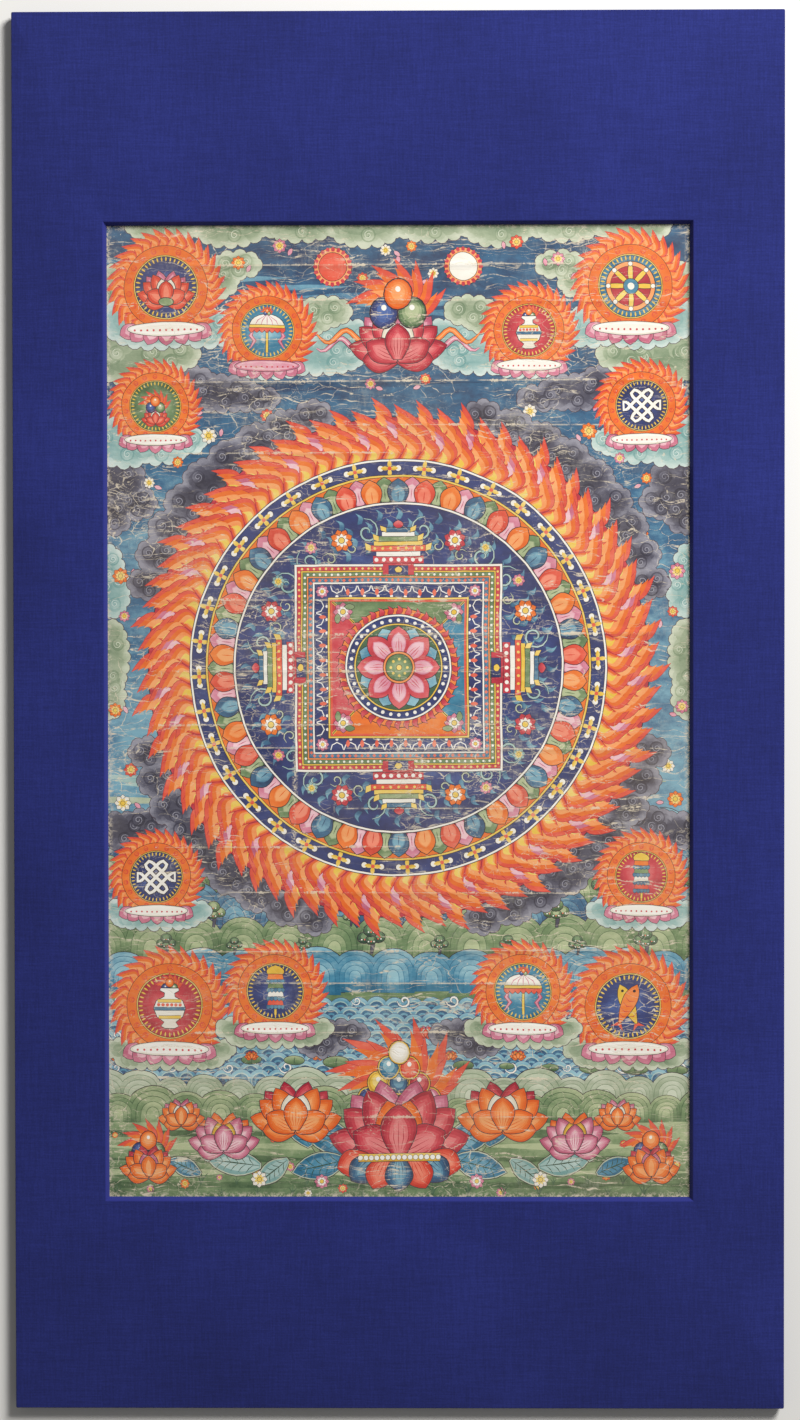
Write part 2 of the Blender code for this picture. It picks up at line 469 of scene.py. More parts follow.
# A bank of puffs with scalloped rims: ink, pale rim, body and core are each one tier of them all
def cloud(puffs, pigment, lobe, curls=True):
    tiers = ((0.7, "ink", (0.8, 0.8), 0.0), (0.0, pigment, (0.55, 0.95), 0.0),
             (0.0, pigment, (0.3, 0.85), 0.42), (0.0, pigment, (0.1, 0.6), 0.95))
    for spread, color, tones, inset in tiers:
        for x, y, wide, tall in puffs:
            a = max(wide - inset * lobe, 2.0)
            b = max(tall - inset * lobe, 2.0)
            around = math.pi * (3 * (a + b) - math.sqrt((3 * a + b) * (a + 3 * b)))
            count = max(5, round(around / (1.35 * lobe)))
            ring(dot(lobe + spread, color, tones, 11), count, a, (x, y), b, start=17 * inset)
            lay(oval(x, y, a + 1, b + 1), color, mix(*tones, 0.4))
    if curls:
        swirl = curl(0.66 * lobe, 0.14 * lobe, 1.35, 200)
        for x, y, wide, tall in puffs:
            count = max(3, round((wide + tall) / (2.2 * lobe)))
            parts = dot(lobe, pigment, (0.0, 0.4), 14) + dot(0.8 * lobe, pigment, (0.15, 0.7), 12)
            parts.append((mark(moved(swirl, 0.5, -0.6), 1.2), pigment, -0.1))
            parts.append((mark(swirl, 1.0), pigment, 1.0))
            ring(parts, count, 0.62 * wide, (x, y), 0.62 * tall, start=40)


# A bank along the top, then pairs of banks, each with its pigment, lobe size and puffs
def paintClouds():
    cloud([(-252 + 72 * k, 526, 36, 14 + 5 * (k % 2)) for k in range(8)], "sage", 8.0)
    for pigment, lobe, *puffs in (
            ("sage", 8.0, (198, 466, 20, 16), (174, 482, 20, 9), (306, 444, 18, 32)),
            ("smoke", 7.5, (190, 344, 34, 14), (226, 352, 28, 16), (154, 338, 20, 8)),
            ("sage", 8.5, (286, 378, 36, 20), (306, 402, 22, 24), (248, 386, 28, 13)),
            ("aqua", 8.5, (262, 422, 52, 24), (206, 414, 30, 15)),
            ("aqua", 7.5, (88, 384, 46, 15), (56, 400, 32, 18), (138, 374, 34, 9)),
            ("sage", 7.5, (106, 424, 30, 13), (78, 432, 22, 11), (136, 430, 20, 9)),
            ("smoke", 8.0, (302, 248, 24, 24), (282, 226, 15, 12), (308, 214, 16, 16)),
            ("aqua", 8.0, (296, 292, 34, 22), (258, 286, 26, 12), (228, 292, 14, 8)),
            ("sage", 7.0, (310, 60, 14, 34), (312, 18, 12, 20)),
            ("aqua", 7.0, (308, 132, 13, 24), (314, 160, 12, 16)),
            ("smoke", 7.5, (300, -128, 30, 14), (270, -118, 20, 9), (246, -108, 14, 7)),
            ("smoke", 7.0, (62, -348, 24, 10), (86, -360, 18, 8))):
        cloud(puffs, pigment, lobe)
        cloud([(-x, y, wide, tall) for x, y, wide, tall in puffs], pigment, lobe)
    print("clouds laid")


# Blossoms and petals that fall through the sky
def paintShower():
    places = ((30, 356), (142, 322), (205, 300), (238, 272), (176, 388), (300, 344), (14, 500),
              (172, 486), (200, 468), (38, 470), (262, 190), (300, 150), (296, 106), (290, -60),
              (298, -96), (250, -150), (128, 504), (224, 326), (268, 250), (306, 4))
    for k, (x, y) in enumerate(places):
        for side in (-1, 1):
            outer = ("rose", "vermilion", "white", "orange")[(k + (side > 0)) % 4]
            layParts(bloomParts(6.2 + 1.4 * (k % 3), outer, "yellow"), side * x, y + 2 * side)
            fallen = inked(petal(8, 4.4, 0.3, 0.5, 4), "rose", 0.7, 0.5)
            layParts(fallen, side * (x - 13), y - 8 + 3 * (k % 3), 40 * k + 70 * side)
    print("shower laid")


# A rounded rock or hill with its foot on the origin
def hump(width, height):
    arch = []
    for i in range(13):
        angle = math.pi * i / 12
        arch.append((width / 2 * math.cos(angle), height * math.sin(angle) ** 0.75))
    return arch + [(-width / 2, -14), (width / 2, -14)]


def rockParts(width, height, pigment):
    parts = inked(hump(width, height), pigment, (0.0, 0.85), 0.7)
    for share, dark in ((0.84, 0.05), (0.64, 0.15), (0.44, 0.25), (0.24, 0.35)):
        inner = moved(hump(width * share, height * (share + 0.06)), 0, -2)
        parts.append((grown(inner, 0.6), pigment, dark - 0.1))
        parts.append((inner, pigment, (dark, 0.7 + dark)))
    return parts


# A small round-headed tree on the origin
def treeParts(size, pigment):
    trunk = mark([(0, 0), (size * 0.06, size * 0.3), (-size * 0.04, size * 0.62)], size * 0.13, 0.6)
    parts = inked(trunk, "smoke", 0.4, 0.5)
    for x, y, radius in ((-0.24, 0.58, 0.24), (0.25, 0.6, 0.24), (0, 0.5, 0.2), (0, 0.84, 0.27)):
        head = oval(x * size, y * size, radius * size, radius * 0.82 * size, 12)
        parts += inked(head, pigment, (0.0, 0.8), 0.6)
        spot = oval(x * size, y * size + 0.05 * size, radius * 0.55 * size, radius * 0.4 * size, 9)
        parts.append((spot, pigment, 1.0))
        for k in range(3):
            dot = oval((x - 0.1 + 0.1 * k) * size, (y - 0.06) * size, size * 0.03, steps=6)
            parts.append((dot, "vermilion" if k % 2 else "white", 0.8))
    return parts


def paintLand():
    w, h = fieldHalf
    lay(box(-w, -h, w, -142), "malachite", lambda x, y: mix(0.1, 0.7, (y + 480) / 360))
    for k, (y, width, height, pigment) in enumerate((
            (-152, 54, 44, "teal"), (-174, 50, 40, "azurite"), (-200, 58, 42, "malachite"),
            (-228, 50, 38, "azurite"), (-256, 62, 38, "malachite"), (-286, 52, 28, "teal"))):
        step = width * 0.8
        count = int(2 * w / step) + 2
        row(rockParts(width, height, pigment), count, (-w - step * (k % 2) / 2, y), (step, 0),
            uneven=0.18, seed=11 + k)
    for seed, (y, pigment) in enumerate(((-204, "forest"), (-232, "malachite"), (-262, "forest"))):
        row(treeParts(24, pigment), 9, (-296 + 22 * seed, y), (74, 0), uneven=0.3, seed=50 + seed)
    print("land laid")


def paintWater():
    w, h = fieldHalf
    lay(box(-w, -404, w, -318), "teal", (0.1, 0.7))
    rim = oval(0, 0, 11.6, steps=18)
    scale = [(grown(rim, 0.5), "lapis", 0.5), (rim, "teal", (0.35, 1.0))]
    for y, radius, steps, color, tone in (
            (-0.9, 9.0, 16, "aqua", 0.7), (-1.3, 8.1, 16, "azurite", 0.5),
            (-1.8, 5.6, 12, "teal", 0.7), (-2.2, 3.9, 10, "azurite", 0.4)):
        scale.append((oval(0, y, radius, steps=steps), color, tone))
    for k in range(10):
        row(scale, 34, (-w + 9.8 * (k % 2), -320 - 8.6 * k), (19.6, 0), uneven=0.05, seed=k)
    foam = mark(curl(7, 1.2, 1.2, 180), 1.6)
    for level, count, step in ((-312, 13, 52), (-350, 9, 74), (-384, 11, 61)):
        row([(grown(foam, 0.5), "azurite", 0.4), (foam, "white", 0.7)], count, (-w + 12, level),
            (step, 0), uneven=0.3, seed=3 - level)
    pad = inked(oval(0, 0, 11, 4.6, 18), "malachite", (0.1, 0.9), 0.6)
    pad.append((mark([(0, -4), (0, 0), (1, 3.6)], 0.9), "forest", 0.1))
    row(pad, 14, (-w + 20, -372), (46, -1.2), uneven=0.35, seed=8)
    for lotus, count, start, step, seed in (
            (lotusParts(14, "rose", "vermilion", "white"), 8, (-w + 34, -350), 78, 6),
            (lotusParts(10, "crimson", "orange", "yellow"), 9, (-w + 14, -374), 72, 7)):
        row(lotus, count, start, (step, 0), uneven=0.2, seed=seed)
    lay(box(-w, -h, w, -404), "malachite", lambda x, y: mix(0.5, 0.1, (-404 - y) / 125))
    row(rockParts(46, 24, "sage"), 19, (-w, -414), (36, 0), uneven=0.3, seed=21)
    row(rockParts(46, 24, "malachite"), 19, (-w + 14, -434), (37, 0), uneven=0.35, seed=22)
    lay(box(-w, -h, w, -444), "malachite", lambda x, y: mix(0.85, 0.3, (-444 - y) / 85))
    for k in range(5):
        row([(petal(150, 7, 0.1, 0.5), "malachite", (0.15, 1.0)[k % 2])], 7,
            (-w - 20 + 26 * k, -456 - 14 * k), (96, 0), turn=90, uneven=0.4, seed=25 + k)
    for k in range(33):
        color = ("orange", "white", "rose", "vermilion")[k * 7 % 4]
        layParts(bloomParts(3.4 + k * 5 % 3, color, "yellow"), -308 + 19 * k, -458 - k * 29 % 64)
    print("water laid")


# One petal of a lotus: an ink line, then tones that pale towards its heart, and veins on a big one
def petalParts(length, width, color, line, veined):
    parts = [(grown(petal(length, width, 0.35, 0.55, 12 if veined else 7), line), "ink", 0.6)]
    tones = (0.05, 0.3, 0.55, 0.78, 0.98) if veined else (0.2, 0.55, 0.95)
    for k, tone in enumerate(tones):
        share = 1 - 0.62 * k / (len(tones) - 1)
        parts.append((petal(length * (1 - 0.3 * k / len(tones)), width * share, 0.35, 0.55,
                            12 if veined else 7), color, tone))
    if veined:
        for side in (-2, -1, 0, 1, 2):
            vein = [(side * width * 0.05, length * 0.06), (side * width * 0.14, length * 0.34),
                    (side * width * 0.13, length * (0.66 - 0.05 * abs(side)))]
            parts.append((mark(vein, 0.9, 0.2), color, 0.1))
    return parts


# A lotus seen from the side, with its foot at the origin; rows of petals from back to front
def lotusParts(size, back, front, heart):
    parts = []
    line = 0.8 if size > 20 else 0.45
    for reach, wide, color, angles in (
            (1.0, 0.42, back, (-38, 38, -14, 14)), (0.94, 0.44, front, (-74, 74, -50, 50, -26, 26)),
            (0.72, 0.42, heart, (-12, 12)), (0.66, 0.46, front, (-92, 92, -62, 62, 0))):
        blade = petalParts(size * reach, size * wide, color, line, size > 40)
        for angle in angles:
            parts += placed(blade, turn=angle)
    return parts


def leafParts(length, width, pigment):
    parts = inked(petal(length, width, 0.2, 0.45), "sage", 0.8)
    parts.append((moved(petal(length - 2.4, width - 2.4, 0.2, 0.45), 0, 1), pigment, 0.15))
    parts.append((moved(petal(length * 0.8, width * 0.62, 0.2, 0.45), 0, 2), pigment, 0.55))
    parts.append((mark([(0, 2), (0, length * 0.5), (0, length * 0.86)], 1.4), "forest", -0.1))
    for k in range(5):
        y = length * (0.14 + 0.14 * k)
        for side in (-1, 1):
            rib = [(0, y), (side * width * 0.17, y + length * 0.08),
                   (side * width * 0.34, y + length * 0.12)]
            parts.append((mark(rib, 0.9), "forest", 0.0))
    return parts


def bloomParts(size, outer, inner):
    parts = []
    blade = petal(size, size * 0.62, 0.3, 0.6, 5)
    for angle in range(0, 360, 45):
        parts += placed([(grown(blade, 0.05 * size), "ink", 0.6), (blade, outer, 0.4),
                         (moved(blade, 0, 0, 0.66), outer, 0.8)], turn=angle)
    for angle in range(22, 360, 45):
        parts += placed([(petal(size * 0.62, size * 0.3, 0.3, 0.6, 4), inner, 0.8)], turn=angle)
    parts += inked(oval(0, 0, size * 0.26, steps=12), "yellow", 0.6, 0.05 * size)
    return parts


# A tongue of fire: a dark line, a red tip, then paler towards its heart
def tongueParts(length, width, color, heart="yellow", line=0.5):
    parts = [(grown(flame(length, width, 0.5), line), "crimson", 0.0)]
    for share, pigment, tone in ((1.0, "vermilion", 0.45), (0.82, color, 0.3), (0.62, color, 0.85),
                                 (0.38, heart, 0.6)):
        inner = flame(length * share, width * share, 0.5, 7 if share < 0.7 else 8)
        parts.append((moved(inner, 0, length * 0.05 * (1 - share)), pigment, tone))
    return parts


# A round stone: each tier's radius and rise are shares of the size
def stoneParts(x, y, size, tall, tiers):
    return [(oval(x, y + rise * size, radius * size, radius * tall * size, steps=16), pigment, tone)
            for radius, rise, pigment, tone in tiers]


# A flaming jewel: three stones on a small lotus
def jewelParts(size):
    parts = []
    blaze = tongueParts(size, size * 0.42, "orange", line=0.5 if size > 20 else 0.3)
    for angle in (-78, 72, -52, 48, -26, 24, 0):
        parts += placed(blaze, 0, size * 0.42, angle)
    for x, y, color in ((-0.27, 0.36, "lapis"), (0.27, 0.36, "malachite"), (0, 0.72, "orange")):
        parts += stoneParts(x * size, y * size, size, 1.12, (
            (0.285, 0, "ink", 0.4), (0.262, 0, color, 0.0), (0.235, 0.01, color, 0.3),
            (0.19, 0.025, color, 0.6), (0.135, 0.04, color, 0.95), (0.05, 0.1, "white", 0.8)))
    return parts


# Ten stones heaped up before a fire
def heapParts(size):
    parts = []
    for reach, angles in ((1.0, (-70, 70, -42, 42, -14, 14)),
                          (0.8, (-84, 84, -56, 56, -28, 28, 0))):
        blaze = tongueParts(size * reach, size * 0.34 * reach, "orange")
        for angle in angles:
            parts += placed(blaze, 0, size * 0.34, angle)
    colors = ("lapis", "orange", "malachite", "rose", "yellow", "azurite", "crimson", "teal",
              "vermilion", "white")
    stone = 0
    for level in range(4):
        for k in range(4 - level):
            x = (k - (3 - level) / 2) * 0.27 * size
            y = (0.26 + 0.2 * level) * size
            color = colors[stone % len(colors)]
            stone += 1
            parts += stoneParts(x, y, size, 1.1, (
                (0.148, 0, "ink", 0.4), (0.138, 0, "yellow", 0.3), (0.124, 0, color, 0.0),
                (0.104, 0.01, color, 0.4), (0.074, 0.02, color, 0.8), (0.028, 0.05, "white", 0.9)))
    return parts


def symbolJewel(x, y, size):
    layParts(lotusParts(size * 0.8, "rose", "vermilion", "white"), x, y - size * 0.85)
    layParts(jewelParts(size * 0.9), x, y - size * 0.4)


def symbolWheel(x, y, size):
    disc(x, y, size, "orange", 0.9)
    disc(x, y, size * 0.82, "crimson", 0.3, 0.5)
    spoke = inked(petal(size * 0.92, size * 0.2, 0.5, 0.6, 4), "yellow", 0.6, 0.6)
    ring(spoke, 8, size * 0.08, (x, y))
    ring(inked(oval(0, 0, size * 0.09, steps=8), "white", 0.7, 0.5), 8, size * 0.92, (x, y))
    disc(x, y, size * 0.3, "teal", 0.6, 0.7)
    disc(x, y, size * 0.14, "white", 0.7, 0)


def symbolLotus(x, y, size):
    layParts(lotusParts(size * 1.3, "rose", "vermilion", "white"), x, y - size * 0.6)
    layParts(inked(oval(0, 0, size * 0.3, size * 0.16, 14), "malachite", 0.6), x, y - size * 0.6)


def symbolVase(x, y, size):
    layParts(jewelParts(size * 0.6), x, y + size * 0.5)
    body = [(0.18, -0.9), (0.34, -0.82), (0.22, -0.66), (0.5, -0.44), (0.62, -0.1), (0.5, 0.2),
            (0.2, 0.36), (0.18, 0.52), (0.36, 0.62), (0.34, 0.7)]
    outline = [(px * size, py * size) for px, py in body]
    outline += [(-px, py) for px, py in reversed(outline)]
    layParts(inked(outline, "white", (0.2, 0.9)), x, y)
    for level, wide, color in ((0.2, 0.46, "yellow"), (-0.12, 0.6, "azurite"),
                               (-0.46, 0.44, "yellow")):
        band = box(-wide * size, (level - 0.06) * size, wide * size, (level + 0.06) * size)
        layParts(inked(band, color, 0.6, 0.4), x, y)
    row(dot(size * 0.07, "vermilion", 0.6), 6, (x - size * 0.42, y + size * 0.04),
        (size * 0.168, 0))


def symbolFish(x, y, size):
    for side in (-1, 1):
        body = petal(size * 1.7, size * 0.56, 0.12, 0.62, 9)
        tail = [(0, 3), (-size * 0.26, -size * 0.24), (0, -size * 0.1), (size * 0.26, -size * 0.24)]
        parts = inked(tail, "vermilion", 0.5, 0.6)
        parts += inked(body, "orange" if side > 0 else "yellow", 0.5, 0.7)
        for k in range(4):
            level = size * (0.4 + 0.22 * k)
            arc = [(-size * 0.2, level), (0, level - size * 0.1), (size * 0.2, level)]
            parts.append((mark(arc, 0.8), "crimson", 0.3))
        parts.append((oval(0, size * 1.42, size * 0.06, steps=8), "ink", 0.2))
        layParts(parts, x - side * size * 0.34, y - size * 0.68, side * 24)


# The endless knot: crossing cords with a loop at each end
def symbolKnot(x, y, size):
    step = size * 0.4
    cords = []
    for k in (-1, 0, 1):
        cords += [[(k * step, -1.6 * step), (k * step, 1.6 * step)],
                  [(-1.6 * step, k * step), (1.6 * step, k * step)]]
    for side in (-1, 1):
        for turn in (False, True):
            loop = [(side * -step, 1.6 * step), (side * -0.8 * step, 2.05 * step),
                    (side * -0.2 * step, 2.05 * step), (0, 1.6 * step)]
            loop = [(px, side * py) for px, py in loop]
            corner = [(side * step, side * 1.6 * step), (side * 1.25 * step, side * 2.0 * step),
                      (side * 2.0 * step, side * 1.25 * step), (side * 1.6 * step, side * step)]
            for line in (loop, corner):
                cords.append([(py, px) for px, py in line] if turn else line)
    cords = [moved(turned(line, 45), x, y) for line in cords]
    brushLines(cords, size * 0.24, "ink", 0.4, 1.0)
    brushLines(cords, size * 0.15, "white", 0.8, 1.0)


def symbolParasol(x, y, size):
    pole = box(-size * 0.05, -size * 1.05, size * 0.05, size * 0.4)
    layParts(inked(pole, "yellow", 0.6, 0.5), x, y)
    for side in (-1, 1):
        tail = [(side * size * 0.62, size * 0.1), (side * size * 0.8, -size * 0.25),
                (side * size * 0.6, -size * 0.5), (side * size * 0.82, -size * 0.85)]
        layParts([(mark(tail, size * 0.2, 0.3), "crimson", 0.1),
                  (mark(tail, size * 0.12, 0.3), "rose", 0.6)], x, y)
    dome = [(math.cos(math.pi * k / 12) * size * 0.85, math.sin(math.pi * k / 12) * size * 0.6)
            for k in range(13)]
    layParts(inked(moved(dome, 0, size * 0.2), "white", (0.2, 0.9), 0.7), x, y)
    for k in range(-2, 3):
        rib = [(k * size * 0.3, size * 0.2), (k * size * 0.22, size * 0.5), (0, size * 0.8)]
        layParts([(mark(rib, 0.9), "rose", 0.3)], x, y)
    row(inked(petal(size * 0.34, size * 0.26, 0.8, 0.5, 4), "vermilion", 0.5, 0.5), 7,
        (x - size * 0.75, y + size * 0.24), (size * 0.25, 0), turn=180)
    hem = box(-size * 0.86, size * 0.16, size * 0.86, size * 0.28)
    layParts(inked(hem, "yellow", 0.6, 0.5), x, y)
    layParts(jewelParts(size * 0.34), x, y + size * 0.72)


def symbolBanner(x, y, size):
    pole = box(-size * 0.05, -size * 1.1, size * 0.05, size * 0.9)
    layParts(inked(pole, "yellow", 0.6, 0.5), x, y)
    for level, color in ((-0.7, "vermilion"), (-0.3, "white"), (0.1, "malachite"), (0.5, "orange")):
        band = [(-size * 0.38, size * level), (size * 0.38, size * level),
                (size * 0.32, size * (level + 0.34)), (-size * 0.32, size * (level + 0.34))]
        layParts(inked(band, color, 0.5, 0.6), x, y)
        row(inked(petal(size * 0.2, size * 0.17, 0.8, 0.5, 4), "azurite", 0.6, 0.4), 5,
            (x - size * 0.34, y + size * (level + 0.06)), (size * 0.17, 0), turn=180)
    top = inked(petal(size * 0.4, size * 0.8, 0.9, 0.3, 6), "yellow", 0.5, 0.6)
    layParts(top, x, y + size * 0.82)


# A medallion on its own small cloud, ringed with petals of fire
def paintMedallion(x, y, radius, symbol, ground, seat, puff):
    if puff:
        bank = [(x, y - radius * 0.98, radius * 0.92, 7)]
        bank += [(x + side * radius * 0.9, y - radius * 0.8, 13, 6) for side in (-1, 1)]
        cloud(bank, puff, 7.0, curls=False)
    disc(x, y, radius * 0.86, "crimson", 0.1, 0.5)
    for reach, start in ((0.84, 0), (0.77, 6)):
        blaze = tongueParts(radius * 0.32, radius * 0.21, "orange", "orange", 0.4)
        ring(blaze, 26, radius * reach, (x, y), start=start - 60, span=300)
    disc(x, y, radius * 0.8, "orange", radial(x, y, radius * 0.8, 1.0, 0.3), 0.5)
    for turn in (-1, 1):
        wisp = mark([(turn * px * radius, py * radius) for px, py in curl(0.07, 0.015, 1.1, 60, 9)],
                    0.8, 0.3)
        ring([(wisp, "vermilion", 0.3)], 18, radius * 0.705, (x, y), start=10 * turn)
    disc(x, y, radius * 0.615, "yellow", 0.6, 0.5)
    disc(x, y, radius * 0.59, ground, radial(x, y, radius * 0.59, 1.0, 0.1), 0.5)
    ring([(petal(radius * 0.09, radius * 0.03, 0.3, 0.5, 4), "yellow", 0.5)], 40, radius * 0.5,
         (x, y))
    symbol(x, y, radius * 0.47)
    leaf = petal(radius * 0.34, radius * 0.3, 0.6, 0.5)
    parts = [(grown(leaf, 0.6), "ink", 0.6), (leaf, "rose", 0.3),
             (moved(leaf, 0, 0, 0.7), "rose", 0.8)]
    for angle in (-66, 66, -44, 44, -22, 22, 0):
        away = radius * 0.62 * math.sin(math.radians(angle))
        layParts(parts, x + away, y - radius * 0.78, 180 - angle)
    level = y - radius * 0.8
    layParts(inked(oval(0, 0, radius * 0.74, radius * 0.13, 26), seat, 0.35, 0.6), x, level)
    lay(oval(x, level + 0.4, radius * 0.69, radius * 0.105, 26), seat, 0.9)
    lay(oval(x, level + 0.6, radius * 0.6, radius * 0.07, 22), seat, 0.65)
    row(dot(radius * 0.022, "crimson", 0.5, 7), 11,
        (x - radius * 0.6, level - radius * 0.02), (radius * 0.12, 0))


def paintMedallions():
    for x, y, radius, left, right, ground, other, seat, puff in (
            (250, 458, 56, symbolLotus, symbolWheel, "lapis", "teal", "white", None),
            (141, 411, 47, symbolParasol, symbolVase, "teal", "crimson", "rose", None),
            (262, 330, 45, symbolJewel, symbolKnot, "malachite", "lapis", "white", None),
            (262, -178, 46, symbolKnot, symbolBanner, "lapis", "crimson", "white", "aqua"),
            (248, -318, 58, symbolVase, symbolFish, "crimson", "lapis", "white", "sage"),
            (134, -302, 50, symbolBanner, symbolParasol, "lapis", "teal", "white", "sage")):
        paintMedallion(-x, y, radius, left, ground, seat, puff)
        paintMedallion(x, y, radius, right, other, "white", puff)
    for side, color in ((-1, "vermilion"), (1, "white")):
        disc(side * 70, 480, 20, "orange", 0.95)
        ring([(petal(5, 4, 0.7, 0.5, 4), "crimson", 0.4)], 20, 16.5, (side * 70, 480))
        disc(side * 70, 480, 15, color, radial(side * 70, 480, 15, 1.0, 0.5), 0.6)
    for side in (-1, 1):
        for lap in range(2):
            silk = ("rose", "orange")[lap]
            ribbon = [(side * (14 + 4.6 * k), 396 + 9 * lap + 7 * math.sin(0.75 * k + lap))
                      for k in range(17)]
            for wide, color, tone in ((6.4, "ink", 0.5), (5.0, silk, 0.5), (1.6, silk, 1.0)):
                lay(mark(ribbon, wide, 0.25), color, tone)
    layParts(lotusParts(58, "rose", "crimson", "white"), 0, 380)
    layParts(jewelParts(56), 0, 410)
    print("medallions laid")


# The rings of the round palace, from the outside in, with smoke on its four diagonals
def paintRings():
    x, y, radius = wheel["x"], wheel["y"], wheel["radius"]
    centre = (x, y)
    smoke = []
    for middle in (45, 135, 225, 315):
        for k in range(-4, 5):
            angle = math.radians(middle + 6.6 * k)
            smoke.append((x + (radius + 4) * math.cos(angle), y + (radius + 4) * math.sin(angle),
                          24 - 2.2 * abs(k), 18 - 1.6 * abs(k)))
    cloud(smoke, "smoke", 7.5)
    disc(x, y, radius - 12, "crimson", 0.3, 1.0)
    for lap in range(4):
        for k, length in enumerate((40, 29, 35, 31) if lap == 0 else (33, 29, 34, 30)):
            color = "rose" if (k + 2 * lap) % 8 == 5 else "orange"
            ring(tongueParts(length, 22, color), 19, radius - 29 - 9.6 * lap, centre,
                 start=360 / 76 * (k + 0.5 * (lap % 2)))
    disc(x, y, radius - 57, "white", 0.8, 0.8)
    disc(x, y, radius - 59.5, "lapis", 0.45, 0.6)
    ring(inked(oval(0, 0, 3.1, steps=12), "white", 0.7, 0.6), 72, radius - 66.5, centre)
    knot = petal(9.5, 4.6, 0.3, 0.5, 4)
    for turn in (0, 90, 180, 270):
        ring([(turned(knot, turn), "yellow", (0.3, 0.9))], 36, radius - 66.5, centre, start=2.5)
    ring(dot(2.2, "vermilion", 0.6), 36, radius - 66.5, centre, start=2.5)
    disc(x, y, radius - 74, "yellow", 0.6, 0.7)
    disc(x, y, radius - 76.5, "orange", 0.3, 0.6)
    blade = petal(27, 22, 0.55, 0.5)
    heart = moved(petal(18, 12, 0.5, 0.5), 0, 1)
    for lap, colors in enumerate((("rose", "malachite"), ("vermilion", "azurite", "orange"))):
        reach = radius - 103 - 2 * lap
        count = 42 // len(colors)
        for k, color in enumerate(colors):
            start = 360 / 42 * (k + 0.5 * lap)
            ring(inked(blade, color, (0.1, 0.6), 0.8), count, reach, centre, start=start)
            ring([(grown(heart, 1.1), color, 0.8), (heart, color, (0.9, 1.0)),
                  (mark([(0, 3), (0, 8), (0, 14)], 1.1), color, 0.2)], count, reach, centre,
                 start=start)
    disc(x, y, radius - 104, "white", 0.7, 0.8)
    disc(x, y, radius - 106.5, "lapis", radial(x, y, radius - 106.5, 1.0, 0.2), 0.6)
    print("rings laid")


# Scrolling stems, blooms and flames on the lapis ground between the rings and the square
def paintScrolls():
    x, y = wheel["x"], wheel["y"]
    spark = flame(12, 6.5, 0.6, 6)
    for radius, count, start in ((160, 48, 0), (149, 44, 4), (138, 40, 2), (127, 36, 5)):
        ring([(grown(spark, 0.5), "azurite", 0.2), (spark, "azurite", (0.5, 1.0))], count,
             radius, (x, y), start=start)
    for side in (-1, 1):
        stem = [(side * px, py) for px, py in curl(15, 2.5, 1.3, 90, 16)]
        tendril = [(side * px, py) for px, py in curl(8, 1.5, 1.1, 60, 10)]
        for angle in (25, 65):
            start = angle + (3 if side > 0 else 0)
            ring([(mark(stem, 3.2, 0.3), "ink", 0.2), (mark(stem, 2.0, 0.3), "aqua", 0.6)],
                 4, 150, (x, y), start=start + 12 * side)
            ring([(mark(tendril, 2.4, 0.3), "ink", 0.2), (mark(tendril, 1.4, 0.3), "sage", 0.8)],
                 4, 138, (x, y), start=start - 7 * side)
    for k, start in enumerate((24, -24)):
        ring(bloomParts(12, ("orange", "crimson")[k], "white"), 4, 150, (x, y), start=start)
        ring(bloomParts(7, ("rose", "aqua")[k], "yellow"), 4, 160, (x, y), start=start * 1.5)
    print("scrolls laid")


def laySquare(half, pigment, tone, line):
    x, y = wheel["x"], wheel["y"]
    wide = half + line
    lay(box(x - wide, y - wide, x + wide, y + wide), "ink", 0.4)
    lay(box(x - half, y - half, x + half, y + half), pigment, tone)


# Repeats parts along the four sides of a square, leaving out `clear` steps at each end
def alongSquare(parts, half, count, clear=0):
    x, y = wheel["x"], wheel["y"]
    step = 2 * half / count
    first = -half + (0.5 + clear) * step
    for turn, (c, s) in enumerate(((1, 0), (0, 1), (-1, 0), (0, -1))):
        row(placed(parts, turn=-90 * turn), count - 2 * clear,
            (x + first * c - half * s, y + first * s + half * c), (step * c, step * s))


def gateParts():
    parts = []
    for wide, low, high, color, tone in (
            (62, 0, 9, "crimson", 0.4), (54, 9, 15, "white", 0.7), (70, 15, 22, "vermilion", 0.5),
            (60, 22, 27, "yellow", 0.6), (50, 27, 33, "malachite", 0.6), (40, 33, 38, "white", 0.7),
            (32, 38, 43, "azurite", 0.6)):
        parts += inked(box(-wide / 2, low, wide / 2, high), color, tone, 0.7)
        if wide in (70, 50, 32):
            for side in (-1, 1):
                horn = [(side * (wide / 2 - 1), low), (side * (wide / 2 + 5), low + 2),
                        (side * (wide / 2 + 6), high + 3), (side * (wide / 2 - 1), high)]
                parts += inked(horn if side > 0 else horn[::-1], "yellow", 0.7, 0.6)
    for k in range(7):
        parts.append((oval(-27 + 9 * k, 4.5, 2.5, steps=9), "white", 0.8))
        parts.append((oval(-29 + 9.7 * k, 18.5, 1.8, steps=8), "yellow", 0.7))
    parts += placed(inked(petal(9, 12, 0.3, 0.45), "crimson", (0.2, 0.9), 0.7), 0, 43)
    parts += inked(box(-19, -14, 19, 0), "crimson", 0.4, 0.7)
    parts += inked(box(-12, -14, 12, -3), "lapis", 0.3, 0.6)
    parts += placed(inked(petal(7, 9, 0.5, 0.5, 4), "yellow", 0.6, 0.6), 0, -11)
    return parts


